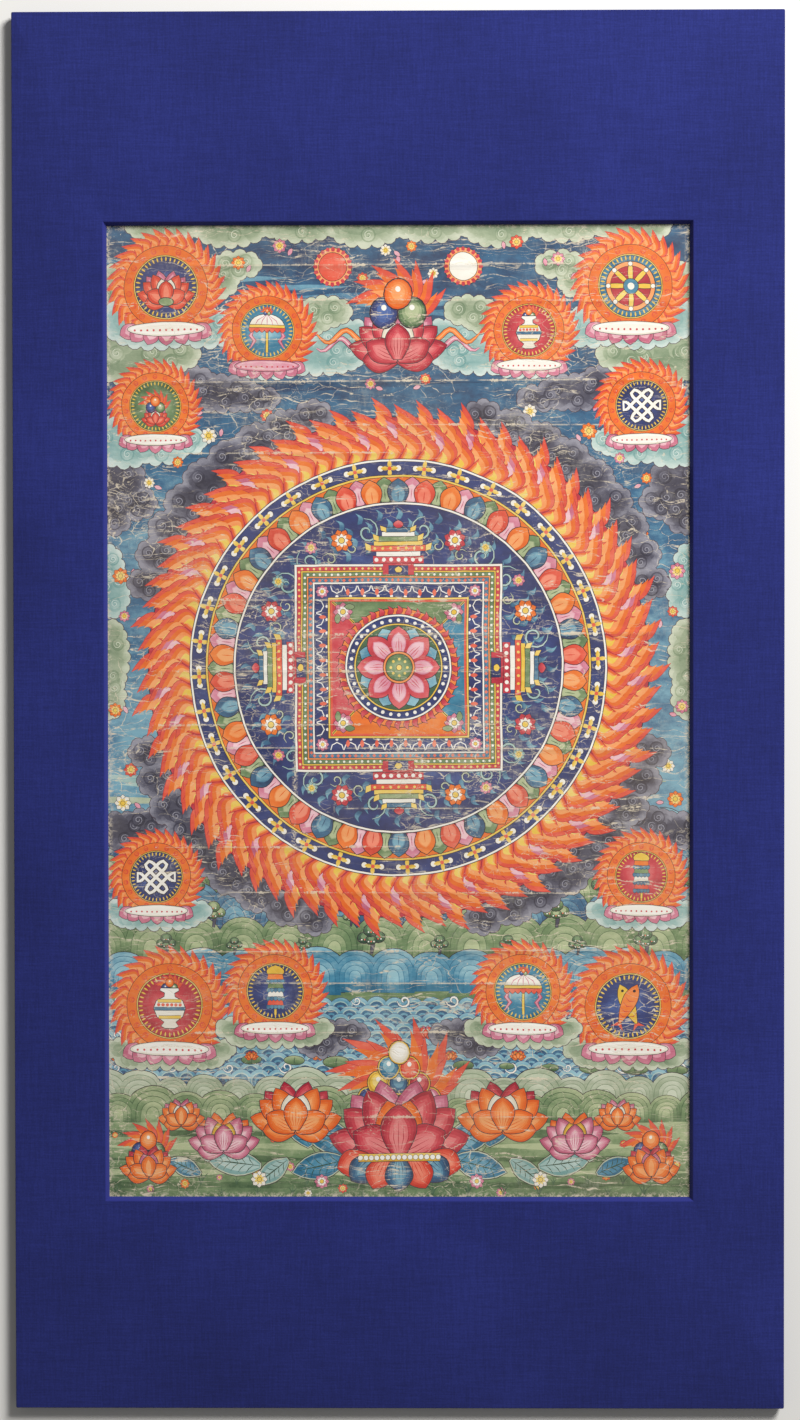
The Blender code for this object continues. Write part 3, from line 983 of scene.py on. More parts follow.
def paintSquare():
    x, y = wheel["x"], wheel["y"]
    for half, pigment, tone in (
            (127, "white", 0.7), (124, "crimson", 0.45), (119, "yellow", 0.6),
            (117, "malachite", 0.5), (112, "orange", 0.8), (110, "azurite", 0.6),
            (105, "white", 0.8)):
        laySquare(half, pigment, tone, 0.5)
    alongSquare(dot(1.5, "yellow", 0.8), 121.6, 33)
    alongSquare(dot(1.5, "white", 0.8), 114.6, 31)
    alongSquare([(turned(box(-1.6, -1.6, 1.6, 1.6), 45), "vermilion", 0.8)], 107.5, 29)
    laySquare(102.5, "lapis", 0.4, 0.6)
    swag = mark([(-8, 0), (-6, -6), (0, -9), (6, -6), (8, 0)], 1.3, 0.9)
    alongSquare([(swag, "white", 0.8)], 100.5, 12, clear=1)
    alongSquare(placed(dot(1.9, "white", 0.8), 0, -13), 100.5, 12, clear=1)
    alongSquare([(petal(9, 5, 0.3, 0.5, 4), "vermilion", 0.7)], 88.5, 10, clear=1)
    ring(bloomParts(8, "rose", "white"), 4, 132.5, (x, y), start=45)
    laySquare(86, "yellow", 0.6, 0.7)
    laySquare(83.5, "vermilion", 0.5, 0.5)
    half = 81
    for turn, (pigment, tones) in enumerate((
            ("teal", (0.3, 1.0)), ("orange", (0.4, 1.0)), ("crimson", (0.4, 1.0)),
            ("malachite", (0.4, 1.0)))):
        wedge = turned([(0, 0), (half, -half), (half, half)], 90 * turn)
        lay(moved(wedge, x, y), pigment, radial(x, y, 108, tones[1], tones[0]))
    for turn in range(4):
        angle = math.radians(45 + 90 * turn)
        end = (x + half * 1.414 * math.cos(angle), y + half * 1.414 * math.sin(angle))
        brushLines([[(x, y), end]], 2.6, "yellow", 0.6, 1.0)
        brushLines([[(x, y), end]], 0.9, "ink", 0.4, 1.0)
    ring(gateParts(), 4, 128, (x, y))
    ring(bloomParts(12, "rose", "white"), 4, 96, (x, y), start=45)
    sprig = inked(petal(12, 7, 0.3, 0.5, 5), "malachite", 0.6, 0.6)
    for side in (-1, 1):
        ring(sprig, 4, 92, (x, y), start=45 + 9 * side, turn=-55 * side)
    print("square laid")


def paintHeart():
    x, y = wheel["x"], wheel["y"]
    centre = (x, y)
    disc(x, y, 73, "orange", 0.7, 0.9)
    ring(inked(flame(11, 8, 0.4, 6), "crimson", (0.3, 0.9), 0.5), 40, 66, centre)
    disc(x, y, 65, "white", 0.8, 0.8)
    disc(x, y, 62.5, "lapis", 0.45, 0.5)
    ring(dot(2.2, "white", 0.8, 10), 36, 58.2, centre)
    disc(x, y, 54, "yellow", 0.6, 0.7)
    disc(x, y, 52, "forest", 0.4, 0.5)
    back = petal(31, 24, 0.4, 0.55)
    ring(inked(back, "teal", (0.1, 0.95), 0.8), 8, 20, centre, start=22.5)
    front = petal(36, 27, 0.4, 0.5)
    heart = moved(petal(25, 15, 0.4, 0.5), 0, 2)
    ring(inked(front, "crimson", (0.2, 0.8), 0.8), 8, 15, centre)
    parts = [(grown(heart, 1.3), "rose", 0.6), (heart, "rose", (0.6, 1.0)),
             (mark([(0, 4), (0, 12), (0, 21)], 1.0), "crimson", 0.4)]
    for side in (1, -1):
        vein = [(side * 3.2, 5), (side * 3.4, 11), (side * 2.2, 17)]
        parts.append((mark(vein, 0.8), "crimson", 0.6))
    ring(parts, 8, 15, centre)
    disc(x, y, 19, "orange", 0.8, 0.9)
    disc(x, y, 16, "malachite", radial(x, y, 16, 1.0, 0.3))
    ring(dot(1.7, "yellow", 0.8, 9), 8, 10, centre)
    disc(x, y, 3.2, "yellow", 0.8, 0.6)
    print("heart laid")


# The foreground: a great lotus with leaves and buds rising from the water
def paintForeground():
    tuft = [(mark([(0, 0), middle, tip], 1.4, 0.2), "forest", tone) for middle, tip, tone in (
        ((-1.5, 6), (-5, 11), 0.3), ((0.5, 8), (0, 13), 0.4), ((2, 6), (6, 10), 0.3))]
    row(tuft, 17, (-306, -524), (38, 0), uneven=0.4, seed=31)
    row(tuft, 16, (-290, -512), (38, 0), uneven=0.4, seed=37)
    for side in (-1, 1):
        stem = [(0, -478), (side * 40, -492), (side * 86, -478), (side * 108, -446)]
        brushLines([stem], 6.2, "ink", 0.4, 0.9)
        brushLines([stem], 4.8, "malachite", 0.7, 0.9)
        for length, width, angle, dx, dy in (
                (76, 34, 62, 44, -476), (60, 30, 104, 58, -484), (52, 26, 30, 96, -470),
                (58, 28, 82, 150, -492), (44, 22, 20, 168, -478), (46, 22, 128, 120, -484),
                (40, 20, 66, 214, -500), (34, 18, -20, 208, -486)):
            leaf = leafParts(length, width, ("teal", "aqua")[length // 2 % 2])
            layParts(leaf, side * dx, dy, side * angle)
        for size, back, front, heart, dx, dy in (
                (54, "crimson", "orange", "white", 112, -452),
                (42, "orange", "rose", "yellow", 190, -474),
                (28, "rose", "orange", "white", 236, -446)):
            layParts(lotusParts(size, back, front, heart), side * dx, dy)
        layParts(jewelParts(34), side * 272, -488)
        layParts(lotusParts(34, "crimson", "orange", "rose"), side * 272, -502)
        layParts(bloomParts(9, "white", "yellow"), side * 152, -506)
        layParts(bloomParts(8, "rose", "white"), side * 84, -508)
    layParts(heapParts(84), 0, -440)
    layParts(lotusParts(84, "rose", "crimson", "orange"), 0, -480)
    for k, angle in enumerate((-72, 72, -48, 48, -24, 24, 0)):
        blade = petalParts(36, 30, ("vermilion", "azurite")[k // 2 % 2], 0.8, True)
        layParts(blade, 34 * math.sin(math.radians(angle)), -482, 180 - angle)
    layParts(inked(box(-44, -4, 44, 4), "yellow", (0.2, 0.8), 0.6), 0, -482)
    row(inked(oval(0, 0, 2.6, steps=10), "white", 0.8, 0.4), 15, (-42, -482), (6, 0))
    print("foreground laid")


def paintPicture():
    paintSky()
    paintLand()
    paintWater()
    paintClouds()
    paintShower()
    paintRings()
    paintScrolls()
    palace = len(layers)
    paintSquare()
    paintHeart()
    shrinkSince(palace, 0.88)
    paintMedallions()
    paintForeground()


# The cotton sheet and its rolling creases
sheetUser = {
    "thickness": 1.5,       # mm, sized and burnished cotton
    "tuck": 15.0,           # mm that runs under the mount
    "creaseHalfWidth": 6.5,
    "creaseFade": 0.12,     # share of the width over which a crease dies away
    "columns": 44,
    "paintThickness": 0.12,
    "slowStray": (1.3, 70),     # mm that the drawing strays, over how many mm
    "quickStray": (0.45, 13),
    "toneSpread": 0.16,     # how far each brush mark's own tone strays
    "toneStep": 0.618,
}
# How the picture is cut into films, in mm
cutUser = {
    "strips": 6,
    "stripShift": 0.0371,   # keeps the strips' ends off lines that are drawn level
    "tolerance": 0.002,
    "slack": 0.01,
    "longest": 9.0,         # longest edge that loses a point, and how far off line as a share of it
    "offLine": 0.03,
    "columns": 32,
    "rows": 50,
}
window = {"width": 634.0, "height": 1055.0}
creases = [dict(zip(("y", "drift", "start", "end", "height"), values)) for values in (
    (482, 2, 0.05, 0.90, 0.9), (444, -3, 0.20, 1.00, 0.7), (402, 1, 0.00, 0.70, 0.5),
    (357, 3, 0.02, 0.98, 0.8), (310, -2, 0.30, 0.95, 0.5), (280, 2, 0.00, 0.60, 0.6),
    (121, -1, 0.05, 0.85, 0.8), (84, 3, 0.25, 1.00, 0.6), (44, -2, 0.00, 0.75, 0.6),
    (-13, 2, 0.00, 0.55, 0.5), (-39, -3, 0.10, 0.95, 0.7), (-104, 1, 0.30, 1.00, 0.4),
    (-145, 2, 0.00, 0.60, 0.5), (-195, -2, 0.10, 0.90, 0.6), (-258, 3, 0.00, 1.00, 0.9),
    (-293, -1, 0.15, 0.80, 0.7), (-346, 2, 0.05, 0.75, 0.5), (-396, -2, 0.00, 0.90, 0.6),
    (-438, 1, 0.25, 1.00, 0.5))]
creaseSteps = ((0.0, 1.0), (0.2, 0.88), (0.55, 0.35), (1.0, 0.0))


def ease(share):
    share = min(max(share, 0.0), 1.0)
    return share * share * (3 - 2 * share)


def creasePortion(offset):
    offset = abs(offset)
    for (near, high), (far, low) in zip(creaseSteps, creaseSteps[1:]):
        if offset <= far:
            return mix(high, low, (offset - near) / (far - near))
    return 0.0


# How far the sheet stands up at a point, and how near it is to a crease's ridge, in mm and 0 to 1
def creaseAt(x, y):
    share = min(max(x / window["width"] + 0.5, 0.0), 1.0)
    for crease in creases:
        offset = y - crease["y"] - crease["drift"] * (share - 0.5)
        if abs(offset) < sheetUser["creaseHalfWidth"]:
            portion = creasePortion(offset / sheetUser["creaseHalfWidth"])
            fade = ease((share - crease["start"]) / sheetUser["creaseFade"])
            fade *= ease((crease["end"] - share) / sheetUser["creaseFade"])
            return crease["height"] * portion * fade, portion * mix(0.25, 1.0, fade)
    return 0.0, 0.0


def creaseLines():
    lines = []
    offsets = [side * place for side in (-1, 1) for place, high in creaseSteps[1:]] + [0.0]
    for crease in creases:
        for offset in offsets:
            y = crease["y"] + offset * sheetUser["creaseHalfWidth"]
            lines.append((y - crease["drift"] / 2, y + crease["drift"] / 2))
    return sorted(lines)


def newPiece(name, mesh, material):
    piece = addObject(name, mesh)
    mesh.materials.append(material)
    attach(piece, "root")
    return piece


# Smooth but for edges that turn by more than the angle
def smoothMesh(name, bm, angle):
    bmesh.ops.recalc_face_normals(bm, faces=bm.faces)
    mesh = bpy.data.meshes.new(name)
    bm.to_mesh(mesh)
    bm.free()
    mesh.shade_smooth()
    mesh.set_sharp_from_angle(angle=math.radians(angle))
    return mesh


# A flat map for the finished picture of each piece, over the whole sheet
def addFlatMap(mesh, halfWidth, halfHeight):
    places = np.empty(len(mesh.vertices) * 3)
    mesh.vertices.foreach_get("co", places)
    places = places.reshape(-1, 3)
    corners = np.empty(len(mesh.loops), dtype=int)
    mesh.loops.foreach_get("vertex_index", corners)
    u = places[corners, 0] / (2 * halfWidth) + 0.5
    v = places[corners, 1] / (2 * halfHeight) + 0.5
    mesh.uv_layers.new(name="OFBake").data.foreach_set("uv", np.stack((u, v), 1).ravel())


def makeSheet():
    half = window["width"] / 2 * mm
    tuck = sheetUser["tuck"] * mm
    top = window["height"] / 2
    columns = [(0.0, -tuck)] + [(i / sheetUser["columns"], 0.0)
                                for i in range(sheetUser["columns"] + 1)] + [(1.0, tuck)]
    rows = [(-top - sheetUser["tuck"],) * 2, (-top, -top)]
    rows += creaseLines() + [(top, top), (top + sheetUser["tuck"],) * 2]
    bottom = sheetLow[2]
    thick = sheetUser["thickness"] * mm
    bm = bmesh.new()
    front = []
    back = []
    for left, right in rows:
        frontRow = []
        backRow = []
        for share, past in columns:
            x = (share - 0.5) * 2 * half + past
            y = mix(left, right, share) * mm
            rise = 0.0 if past else creaseAt(x / mm, y / mm)[0] * mm
            frontRow.append(bm.verts.new((x, y, bottom + thick + rise)))
            backRow.append(bm.verts.new((x, y, bottom + rise)))
        front.append(frontRow)
        back.append(backRow)
    sides = [front, back]
    for end in (0, -1):
        sides += [(back[end], front[end]), ([r[end] for r in back], [r[end] for r in front])]
    for grid in sides:
        for lower, upper in zip(grid, grid[1:]):
            for i in range(len(lower) - 1):
                bm.faces.new((lower[i], lower[i + 1], upper[i + 1], upper[i]))
    mesh = smoothMesh("painted_cotton", bm, 40)
    piece = newPiece("painted_cotton", mesh, cottonMaterial())
    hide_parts("thangka_cloth")
    print("sheet made")


# Without a seed of its own, this noise would start from the clock
noise.seed_set(3)


# A hand that isn't quite steady: every point strays a little from the drawn one
def unsteady(point):
    place = point
    for (far, span), level in ((sheetUser["slowStray"], 0.0), (sheetUser["quickStray"], 9.0)):
        stray = noise.noise_vector(Vector((point.x / span, point.y / span, level)))
        place = place + stray.xy * far
    return place


def isInside(outline, x, y):
    crossings = 0
    for (ax, ay), (bx, by) in zip(outline, outline[1:] + outline[:1]):
        if (ay > y) != (by > y) and x < ax + (bx - ax) * (y - ay) / (by - ay):
            crossings += 1
    return crossings % 2 == 1


# The topmost outline over each triangle, -1 off the strip. The cutter now and then floods a shape
# past its outline, so a shape that turns up outside its own bounds is tested point by point.
def topOutlines(middles, owners, outlines, lows, highs):
    top = np.array([max(owner) if 0 in owner else -1 for owner in owners])
    top[((middles < lows[0]) | (middles > highs[0])).any(1)] = -1
    while True:
        astray = (top >= 0) & ((middles < lows[top]) | (middles > highs[top])).any(1)
        flooded = set(top[astray].tolist())
        if not flooded:
            return top
        print("mended", len(flooded), "flooded shapes")
        for k in np.nonzero(np.isin(top, list(flooded)))[0]:
            owners[k] = [i for i in owners[k]
                         if i not in flooded or isInside(outlines[i], *middles[k])]
            top[k] = max(owners[k])


# Lays the outlines down over one level strip of the picture and finds which edges still show,
# with the layers at their sides. Where the strip ends, the picture goes on.
def stripEdges(low, high, lows, highs):
    w, h = fieldHalf
    near = np.nonzero((lows[1:, 1] < high) & (highs[1:, 1] > low))[0] + 1
    outlines = [[(-w, low), (w, low), (w, high), (-w, high)]] + [layers[k][0] for k in near]
    points = []
    faces = []
    for outline in outlines:
        first = len(points)
        points += [Vector(p) for p in outline]
        face = list(range(first, len(points)))
        faces.append(face if signedArea(outline) > 0 else face[::-1])
    places, _, triangles, _, _, owners = delaunay_2d_cdt(
        points, [], faces, 1, cutUser["tolerance"], True)
    corners = np.array(triangles)
    spots = np.array([tuple(p) for p in places])
    lows = np.vstack(((-w, low), lows[near])) - cutUser["slack"]
    highs = np.vstack(((w, high), highs[near])) + cutUser["slack"]
    top = topOutlines(spots[corners].mean(1), owners, outlines, lows, highs)
    tails = corners.ravel()
    heads = np.roll(corners, -1, 1).ravel()
    mine = np.repeat(np.concatenate(((0,), near, (-1,)))[top], 3)
    key = np.minimum(tails, heads) * len(places) + np.maximum(tails, heads)
    order = np.argsort(key, kind="stable")
    paired = key[order][1:] == key[order][:-1]
    one, other = order[:-1][paired], order[1:][paired]
    shown = mine[one] != mine[other]
    ends = np.stack((spots[tails[one], 1], spots[heads[one], 1]))
    for level in (low, high):
        if abs(level) < h:
            along = (abs(ends - level) < cutUser["slack"]).all(0)
            shown &= ~(along & (np.minimum(mine[one], mine[other]) < 0))
    one, other = one[shown], other[shown]
    return places, np.stack((tails[one], heads[one], mine[one], mine[other]), 1)


# Strip by strip, since all the outlines at once would take several times the memory
def visibleEdges():
    lows = np.array([np.min(outline, 0) for outline, pigment, tone in layers])
    highs = np.array([np.max(outline, 0) for outline, pigment, tone in layers])
    h = fieldHalf[1]
    count = cutUser["strips"]
    inner = [h * (2 * i / count - 1) + cutUser["stripShift"] for i in range(1, count)]
    levels = [-h] + inner + [h]
    places = []
    edges = []
    for low, high in zip(levels, levels[1:]):
        spots, found = stripEdges(low, high, lows, highs)
        found[:, :2] += len(places)
        places += spots
        edges += found.tolist()
    print("laid", len(layers), "shapes;", len(edges), "edges show")
    return places, edges


# Leaves out a point where only one line runs straight through it
def straightened(places, edges):
    ends = {}
    for index, (tail, head, left, right) in enumerate(edges):
        ends.setdefault(tail, []).append(index)
        ends.setdefault(head, []).append(index)
    kept = dict(enumerate(edges))
    for point, both in ends.items():
        if len(both) != 2 or both[0] == both[1]:
            continue
        first, second = kept[both[0]], kept[both[1]]
        if first[0] == point:
            first = (first[1], first[0], first[3], first[2])
        if second[1] == point:
            second = (second[1], second[0], second[3], second[2])
        before, after = places[first[0]], places[second[1]]
        span = after - before
        lean = span.x * (places[point].y - before.y) - span.y * (places[point].x - before.x)
        straight = abs(lean) < cutUser["offLine"] * span.length
        if straight and span.length < cutUser["longest"] and first[0] != second[1]:
            kept[both[0]] = (first[0], second[1], first[2], first[3])
            ends[second[1]] = [both[0] if i == both[1] else i for i in ends[second[1]]]
            del kept[both[1]]
    return list(kept.values())


# Cuts the picture again along the edges that show and along the creases, and finds each
# triangle's layer from the edges at its sides
def cutPicture():
    places, edges = visibleEdges()
    edges = straightened(places, edges)
    used = sorted({end for edge in edges for end in edge[:2]})
    number = {old: new for new, old in enumerate(used)}
    points = [places[i] for i in used]
    spans = [(number[tail], number[head]) for tail, head, left, right in edges]
    w, h = fieldHalf
    lines = [((-w, left), (w, right)) for left, right in creaseLines()]
    columns, rows = cutUser["columns"], cutUser["rows"]
    lines += [((2 * w * i / columns - w, -h), (2 * w * i / columns - w, h))
              for i in range(columns + 1)]
    lines += [((-w, 2 * h * i / rows - h), (w, 2 * h * i / rows - h)) for i in range(rows + 1)]
    for line in lines:
        points += [Vector(p) for p in line]
        spans.append((len(points) - 2, len(points) - 1))
    places, pieces, triangles, _, origins, _ = delaunay_2d_cdt(
        points, spans, [], 0, cutUser["tolerance"], True)
    sides = {}
    for (u, v), origin in zip(pieces, origins):
        for index in origin:
            if index < len(edges):
                tail, head = spans[index]
                left, right = edges[index][2:]
                if (places[v] - places[u]).dot(points[head] - points[tail]) < 0:
                    left, right = right, left
                sides[u, v] = left
                sides[v, u] = right
    holder = {}
    for index, (a, b, c) in enumerate(triangles):
        holder[a, b] = holder[b, c] = holder[c, a] = index
    top = [None] * len(triangles)
    waiting = []
    for edge, layer in sides.items():
        index = holder.get(edge)
        if index is not None and top[index] is None:
            top[index] = layer
            waiting.append(index)
    while waiting:
        index = waiting.pop()
        a, b, c = triangles[index]
        for edge in ((b, a), (c, b), (a, c)):
            near = holder.get(edge)
            if near is not None and top[near] is None and edge not in sides:
                top[near] = top[index]
                waiting.append(near)
    print("cut into", len(triangles), "triangles")
    return [unsteady(p) for p in places], triangles, top


# Gives each pigment its own film of paint
def makeFilms():
    places, triangles, top = cutPicture()
    lifts = [creaseAt(p.x, p.y) for p in places]
    kept = {}
    for corners, index in zip(triangles, top):
        if index is not None and index >= 0:
            kept.setdefault(layers[index][1], []).append((corners, layers[index][2], index))
    surface = sheetLow[2] + (sheetUser["thickness"] + sheetUser["paintThickness"]) * mm
    for pigment, found in kept.items():
        order = {}
        vertices = []
        polygons = []
        tones = []
        for corners, tone, index in found:
            own = (index * sheetUser["toneStep"] % 1 - 0.5) * sheetUser["toneSpread"]
            for i in corners:
                if i not in order:
                    order[i] = len(vertices)
                    p = places[i]
                    vertices.append((p.x * mm, p.y * mm, surface + lifts[i][0] * mm))
                shade = tone(places[i].x, places[i].y) if callable(tone) else tone
                tones.append(shade + own)
            polygons.append([order[i] for i in corners])
        mesh = bpy.data.meshes.new("paint_" + pigment)
        mesh.from_pydata(vertices, [], polygons)
        mesh.attributes.new("tone", "FLOAT", "CORNER").data.foreach_set("value", tones)
        nearness = [lifts[i][1] for i in order]
        mesh.attributes.new("crease", "FLOAT", "POINT").data.foreach_set("value", nearness)
        addFlatMap(mesh, fieldHalf[0] * mm, fieldHalf[1] * mm)
        newPiece("paint_" + pigment, mesh, pigments[pigment])
        print("film", pigment, len(polygons))


# Wear that every pigment shares. Loss is bare ground: flaked creases, long rolling cracks, a web of
# fine cracks, specks and one upright rub. Rub is colour worn thin, Mottle the brush's uneven wash.
wearUser = {
    "rubX": -0.113, "rubLow": -0.183, "rubHigh": 0.161, "rubWide": 0.004, "rubFade": 0.05,
    "edgeX": 0.3134, "edgeY": 0.5239, "edgeWide": 0.006, "levelWide": 0.011,
}


def makeWear():
    tree = bpy.data.node_groups.new("sharedWear", "ShaderNodeTree")
    for label in ("Loss", "Rub", "Grime", "Mottle", "Height"):
        tree.interface.new_socket(label, in_out="OUTPUT", socket_type="NodeSocketFloat")
    result = addNode(tree, "NodeGroupOutput")
    flat = addNode(tree, "ShaderNodeTexCoord").outputs["Object"]
    crease = addNode(tree, "ShaderNodeAttribute", attribute_name="crease").outputs["Fac"]

    def cloudy(scale, stretch=(1, 1, 1), detail=2.0, rough=0.5, place=flat, output="Fac"):
        return addNoise(tree, place, scale, stretch, detail, rough, output)

    def ramped(value, low, high):
        return addRange(tree, value, low, high)

    def plus(*values):
        return doMath(tree, "ADD", *values)

    def times(*values):
        return doMath(tree, "MULTIPLY", *values)

    def most(*values):
        return doMath(tree, "MAXIMUM", *values)

    def away(value, middle):
        return doMath(tree, "ABSOLUTE", doMath(tree, "SUBTRACT", value, middle))

    def shifted(scale, amount):
        swirl = addNode(tree, "ShaderNodeVectorMath", {
            0: cloudy(scale, output="Color"), 1: (0.5, 0.5, 0.5)}, operation="SUBTRACT")
        push = addNode(tree, "ShaderNodeVectorMath", {0: swirl.outputs[0], "Scale": amount},
                       operation="SCALE")
        return addNode(tree, "ShaderNodeVectorMath", {0: flat, 1: push.outputs[0]}).outputs[0]

    # The thin lines between the cells of a warped honeycomb
    def cracks(scale, stretch, width, place):
        spot = addNode(tree, "ShaderNodeMapping", {"Vector": place, "Scale": stretch})
        cell = addNode(tree, "ShaderNodeTexVoronoi", {"Vector": spot.outputs[0], "Scale": scale},
                       feature="DISTANCE_TO_EDGE")
        return ramped(cell.outputs["Distance"], width, width * 0.3)

    warped = shifted(30, 0.020)
    bent = shifted(70, 0.012)
    fine = cloudy(520, detail=3, rough=0.6)        # flakes about 2 mm
    small = cloudy(160, detail=3, rough=0.6)       # 6 mm
    middle = cloudy(45, detail=3, rough=0.6)       # 20 mm
    patch = cloudy(11, detail=3, rough=0.6)        # 90 mm
    ragged = plus(times(fine, 0.6), times(small, 0.5))
    folded = ramped(plus(times(crease, plus(times(middle, 1.7), -0.08)), ragged), 1.36, 1.44)
    thin = times(ramped(crease, 0.90, 0.97), ramped(ragged, 0.42, 0.52), ramped(middle, 0.34, 0.46))
    level = away(cloudy(5, (1, 15, 1), 3, 0.55, warped), 0.5)
    level = times(ramped(level, wearUser["levelWide"], wearUser["levelWide"] * 0.35),
                  ramped(ragged, 0.44, 0.56), ramped(patch, 0.40, 0.52))
    coarse = times(cracks(34, (1, 2.1, 1), 0.020, bent), ramped(ragged, 0.46, 0.56),
                   ramped(cloudy(8, detail=3), 0.49, 0.60))
    crazed = times(cracks(95, (1, 1.7, 1), 0.040, bent), ramped(ragged, 0.48, 0.60),
                   ramped(cloudy(15, detail=3), 0.56, 0.65))
    web = most(coarse, crazed)
    specks = times(ramped(fine, 0.64, 0.70), ramped(plus(middle, times(patch, 0.6)), 0.84, 0.98))
    blotch = times(ramped(small, 0.62, 0.68), ramped(cloudy(19), 0.58, 0.68))
    parts = addNode(tree, "ShaderNodeSeparateXYZ", {0: shifted(12, 0.010)}).outputs
    aside = away(parts[0], wearUser["rubX"])
    low, high, fade = wearUser["rubLow"], wearUser["rubHigh"], wearUser["rubFade"]
    upright = times(ramped(aside, wearUser["rubWide"], 0.0), ramped(fine, 0.46, 0.58),
                    ramped(parts[1], low, low + fade), ramped(parts[1], high, high - fade))
    edges = addNode(tree, "ShaderNodeSeparateXYZ", {0: flat}).outputs
    toEdge = [ramped(doMath(tree, "ABSOLUTE", edges[axis]), half - wearUser["edgeWide"], half)
              for axis, half in ((0, wearUser["edgeX"]), (1, wearUser["edgeY"]))]
    edge = times(most(*toEdge), ramped(ragged, 0.5, 0.62))
    loss = most(folded, times(thin, 0.85), level, web, specks, blotch, upright, edge)
    scratch = plus(cloudy(90, (5, 1, 1), 3, 0.7), cloudy(90, (1, 5, 1), 3, 0.7))
    rub = times(ramped(plus(cloudy(20, detail=5, rough=0.7), times(crease, 0.12)), 0.48, 0.66),
                ramped(scratch, 0.92, 1.15), ramped(patch, 0.42, 0.62))
    grain = cloudy(1500, detail=1)
    wash = plus(times(small, 0.15), times(grain, 0.10), times(cloudy(9, detail=3), 0.25),
                times(cloudy(34, (1, 2.2, 1), 4, 0.62), 0.5))
    height = doMath(tree, "SUBTRACT", plus(times(grain, 0.4), times(fine, 0.3)), loss)
    for label, value in (("Loss", loss), ("Rub", rub), ("Grime", cloudy(5, detail=4, rough=0.6)),
                         ("Mottle", wash), ("Height", height)):
        tree.links.new(value, result.inputs[label])
    return tree


# Hand-ground mineral colour in hide glue: quite matte, deep where thick and pale where washed out.
# fragile is how readily that pigment flakes.
paintUser = {
    "azurite": ("#18395F", "#2F668A", "#78AABC", 0.9),
    "lapis": ("#18265A", "#253A78", "#4867A5", 0.9),
    "teal": ("#2C6684", "#4F8CA6", "#9AC3CC", 0.85),
    "aqua": ("#74A09C", "#A2BFB8", "#D2DED5", 0.6),
    "sage": ("#7A8E70", "#A6B294", "#D1D6BE", 0.6),
    "malachite": ("#455F42", "#789066", "#B9C297", 0.75),
    "forest": ("#38503F", "#557256", "#859E75", 0.75),
    "orange": ("#E05F26", "#F1803C", "#F8AC70", 0.45),
    "vermilion": ("#CB3C30", "#E65E4A", "#F59378", 0.5),
    "crimson": ("#A62A3C", "#D24A55", "#EA8886", 0.5),
    "rose": ("#B95571", "#DD8CA0", "#F3CACE", 0.5),
    "smoke": ("#3E3C48", "#5E5C69", "#9A98A2", 0.7),
    "white": ("#E0D6BE", "#F3ECDD", "#FCF8EF", 0.4),
    "yellow": ("#D09A34", "#EFC650", "#F8E096", 0.4),
    "ink": ("#221D28", "#40333C", "#66555A", 0.4),
}


# What age does to them all: the uneven wash, and how much dirt and rubbing take
ageUser = {
    "swing": 0.14, "fragileSwing": 0.24, "dirt": 0.17, "dirtColor": "#A08E72",
    "rub": 0.42, "rubColor": "#C6C2B0", "flakeFrom": 0.85, "leastFlaked": 0.45,
    "fragileFlaked": 0.5, "bareColors": ("#CFBC9C", "#F0E5D0"),
}


def paintMaterial(name, deep, body, pale, fragile, wear):
    material, tree, shader = newMaterial("mineralPaint_" + name, 0.92, 0.2)
    worn = addNode(tree, "ShaderNodeGroup", node_tree=wear).outputs
    tone = addNode(tree, "ShaderNodeAttribute", attribute_name="tone").outputs["Fac"]
    swing = ageUser["swing"] + ageUser["fragileSwing"] * fragile
    washed = doMath(tree, "ADD", tone, addRange(tree, worn["Mottle"], 0.36, 0.64, -swing, swing))
    color = addRamp(tree, washed, ((0.0, deep), (0.5, body), (1.0, pale)))
    dirty = addRange(tree, worn["Grime"], 0.35, 0.7, 0.0, ageUser["dirt"])
    color = blend(tree, dirty, color, srgb(ageUser["dirtColor"]))
    rubbed = doMath(tree, "MULTIPLY", worn["Rub"], ageUser["rub"] * fragile)
    color = blend(tree, rubbed, color, srgb(ageUser["rubColor"]))
    flaked = addRange(tree, worn["Loss"], ageUser["flakeFrom"] - fragile, 1.0, 0.0,
                      ageUser["leastFlaked"] + ageUser["fragileFlaked"] * fragile)
    bare = blend(tree, worn["Mottle"], *map(srgb, ageUser["bareColors"]))
    finishMaterial(tree, shader, blend(tree, flaked, color, bare), worn["Height"], 0.3, 0.0004)
    return material


# Hand-woven cotton, sized with glue and chalk: warm buff, matte, with a thread every millimetre
def cottonMaterial():
    material, tree, shader = newMaterial("sizedCotton", 0.92, 0.2)
    here = addNode(tree, "ShaderNodeTexCoord").outputs["Object"]
    weft, warp = [addNode(tree, "ShaderNodeTexWave", {
        "Vector": here, "Scale": 160, "Distortion": 1.5},
        bands_direction=way).outputs["Fac"] for way in "YX"]
    stain = addNoise(tree, here, 9, detail=4)
    color = addRamp(tree, stain, ((0.3, "#B79F78"), (0.55, "#D6C09A"), (0.8, "#E2D2B2")))
    finishMaterial(tree, shader, color, doMath(tree, "ADD", weft, warp), 0.4, 0.0002)
    return material


coverUser = {
    "thickness": 1.0,      # mm
    "bevelRun": 3.6,       # mm from the window's front edge in to the lip
    "windowTurnIn": 12.0,
    "backTurnIn": 42.0,
    "cornerRadius": 1.6,   # the cloth's own softness at the panel's corners, seen face on
    "windowRadius": 0.4,
    "aboveSheet": 0.3,     # mm between the lip and the painting
    "cornerSteps": 4,
    # the paler blue painted on the window's bevel lips as a highlight
    "lipHighlightColor": "#2A307E",
}
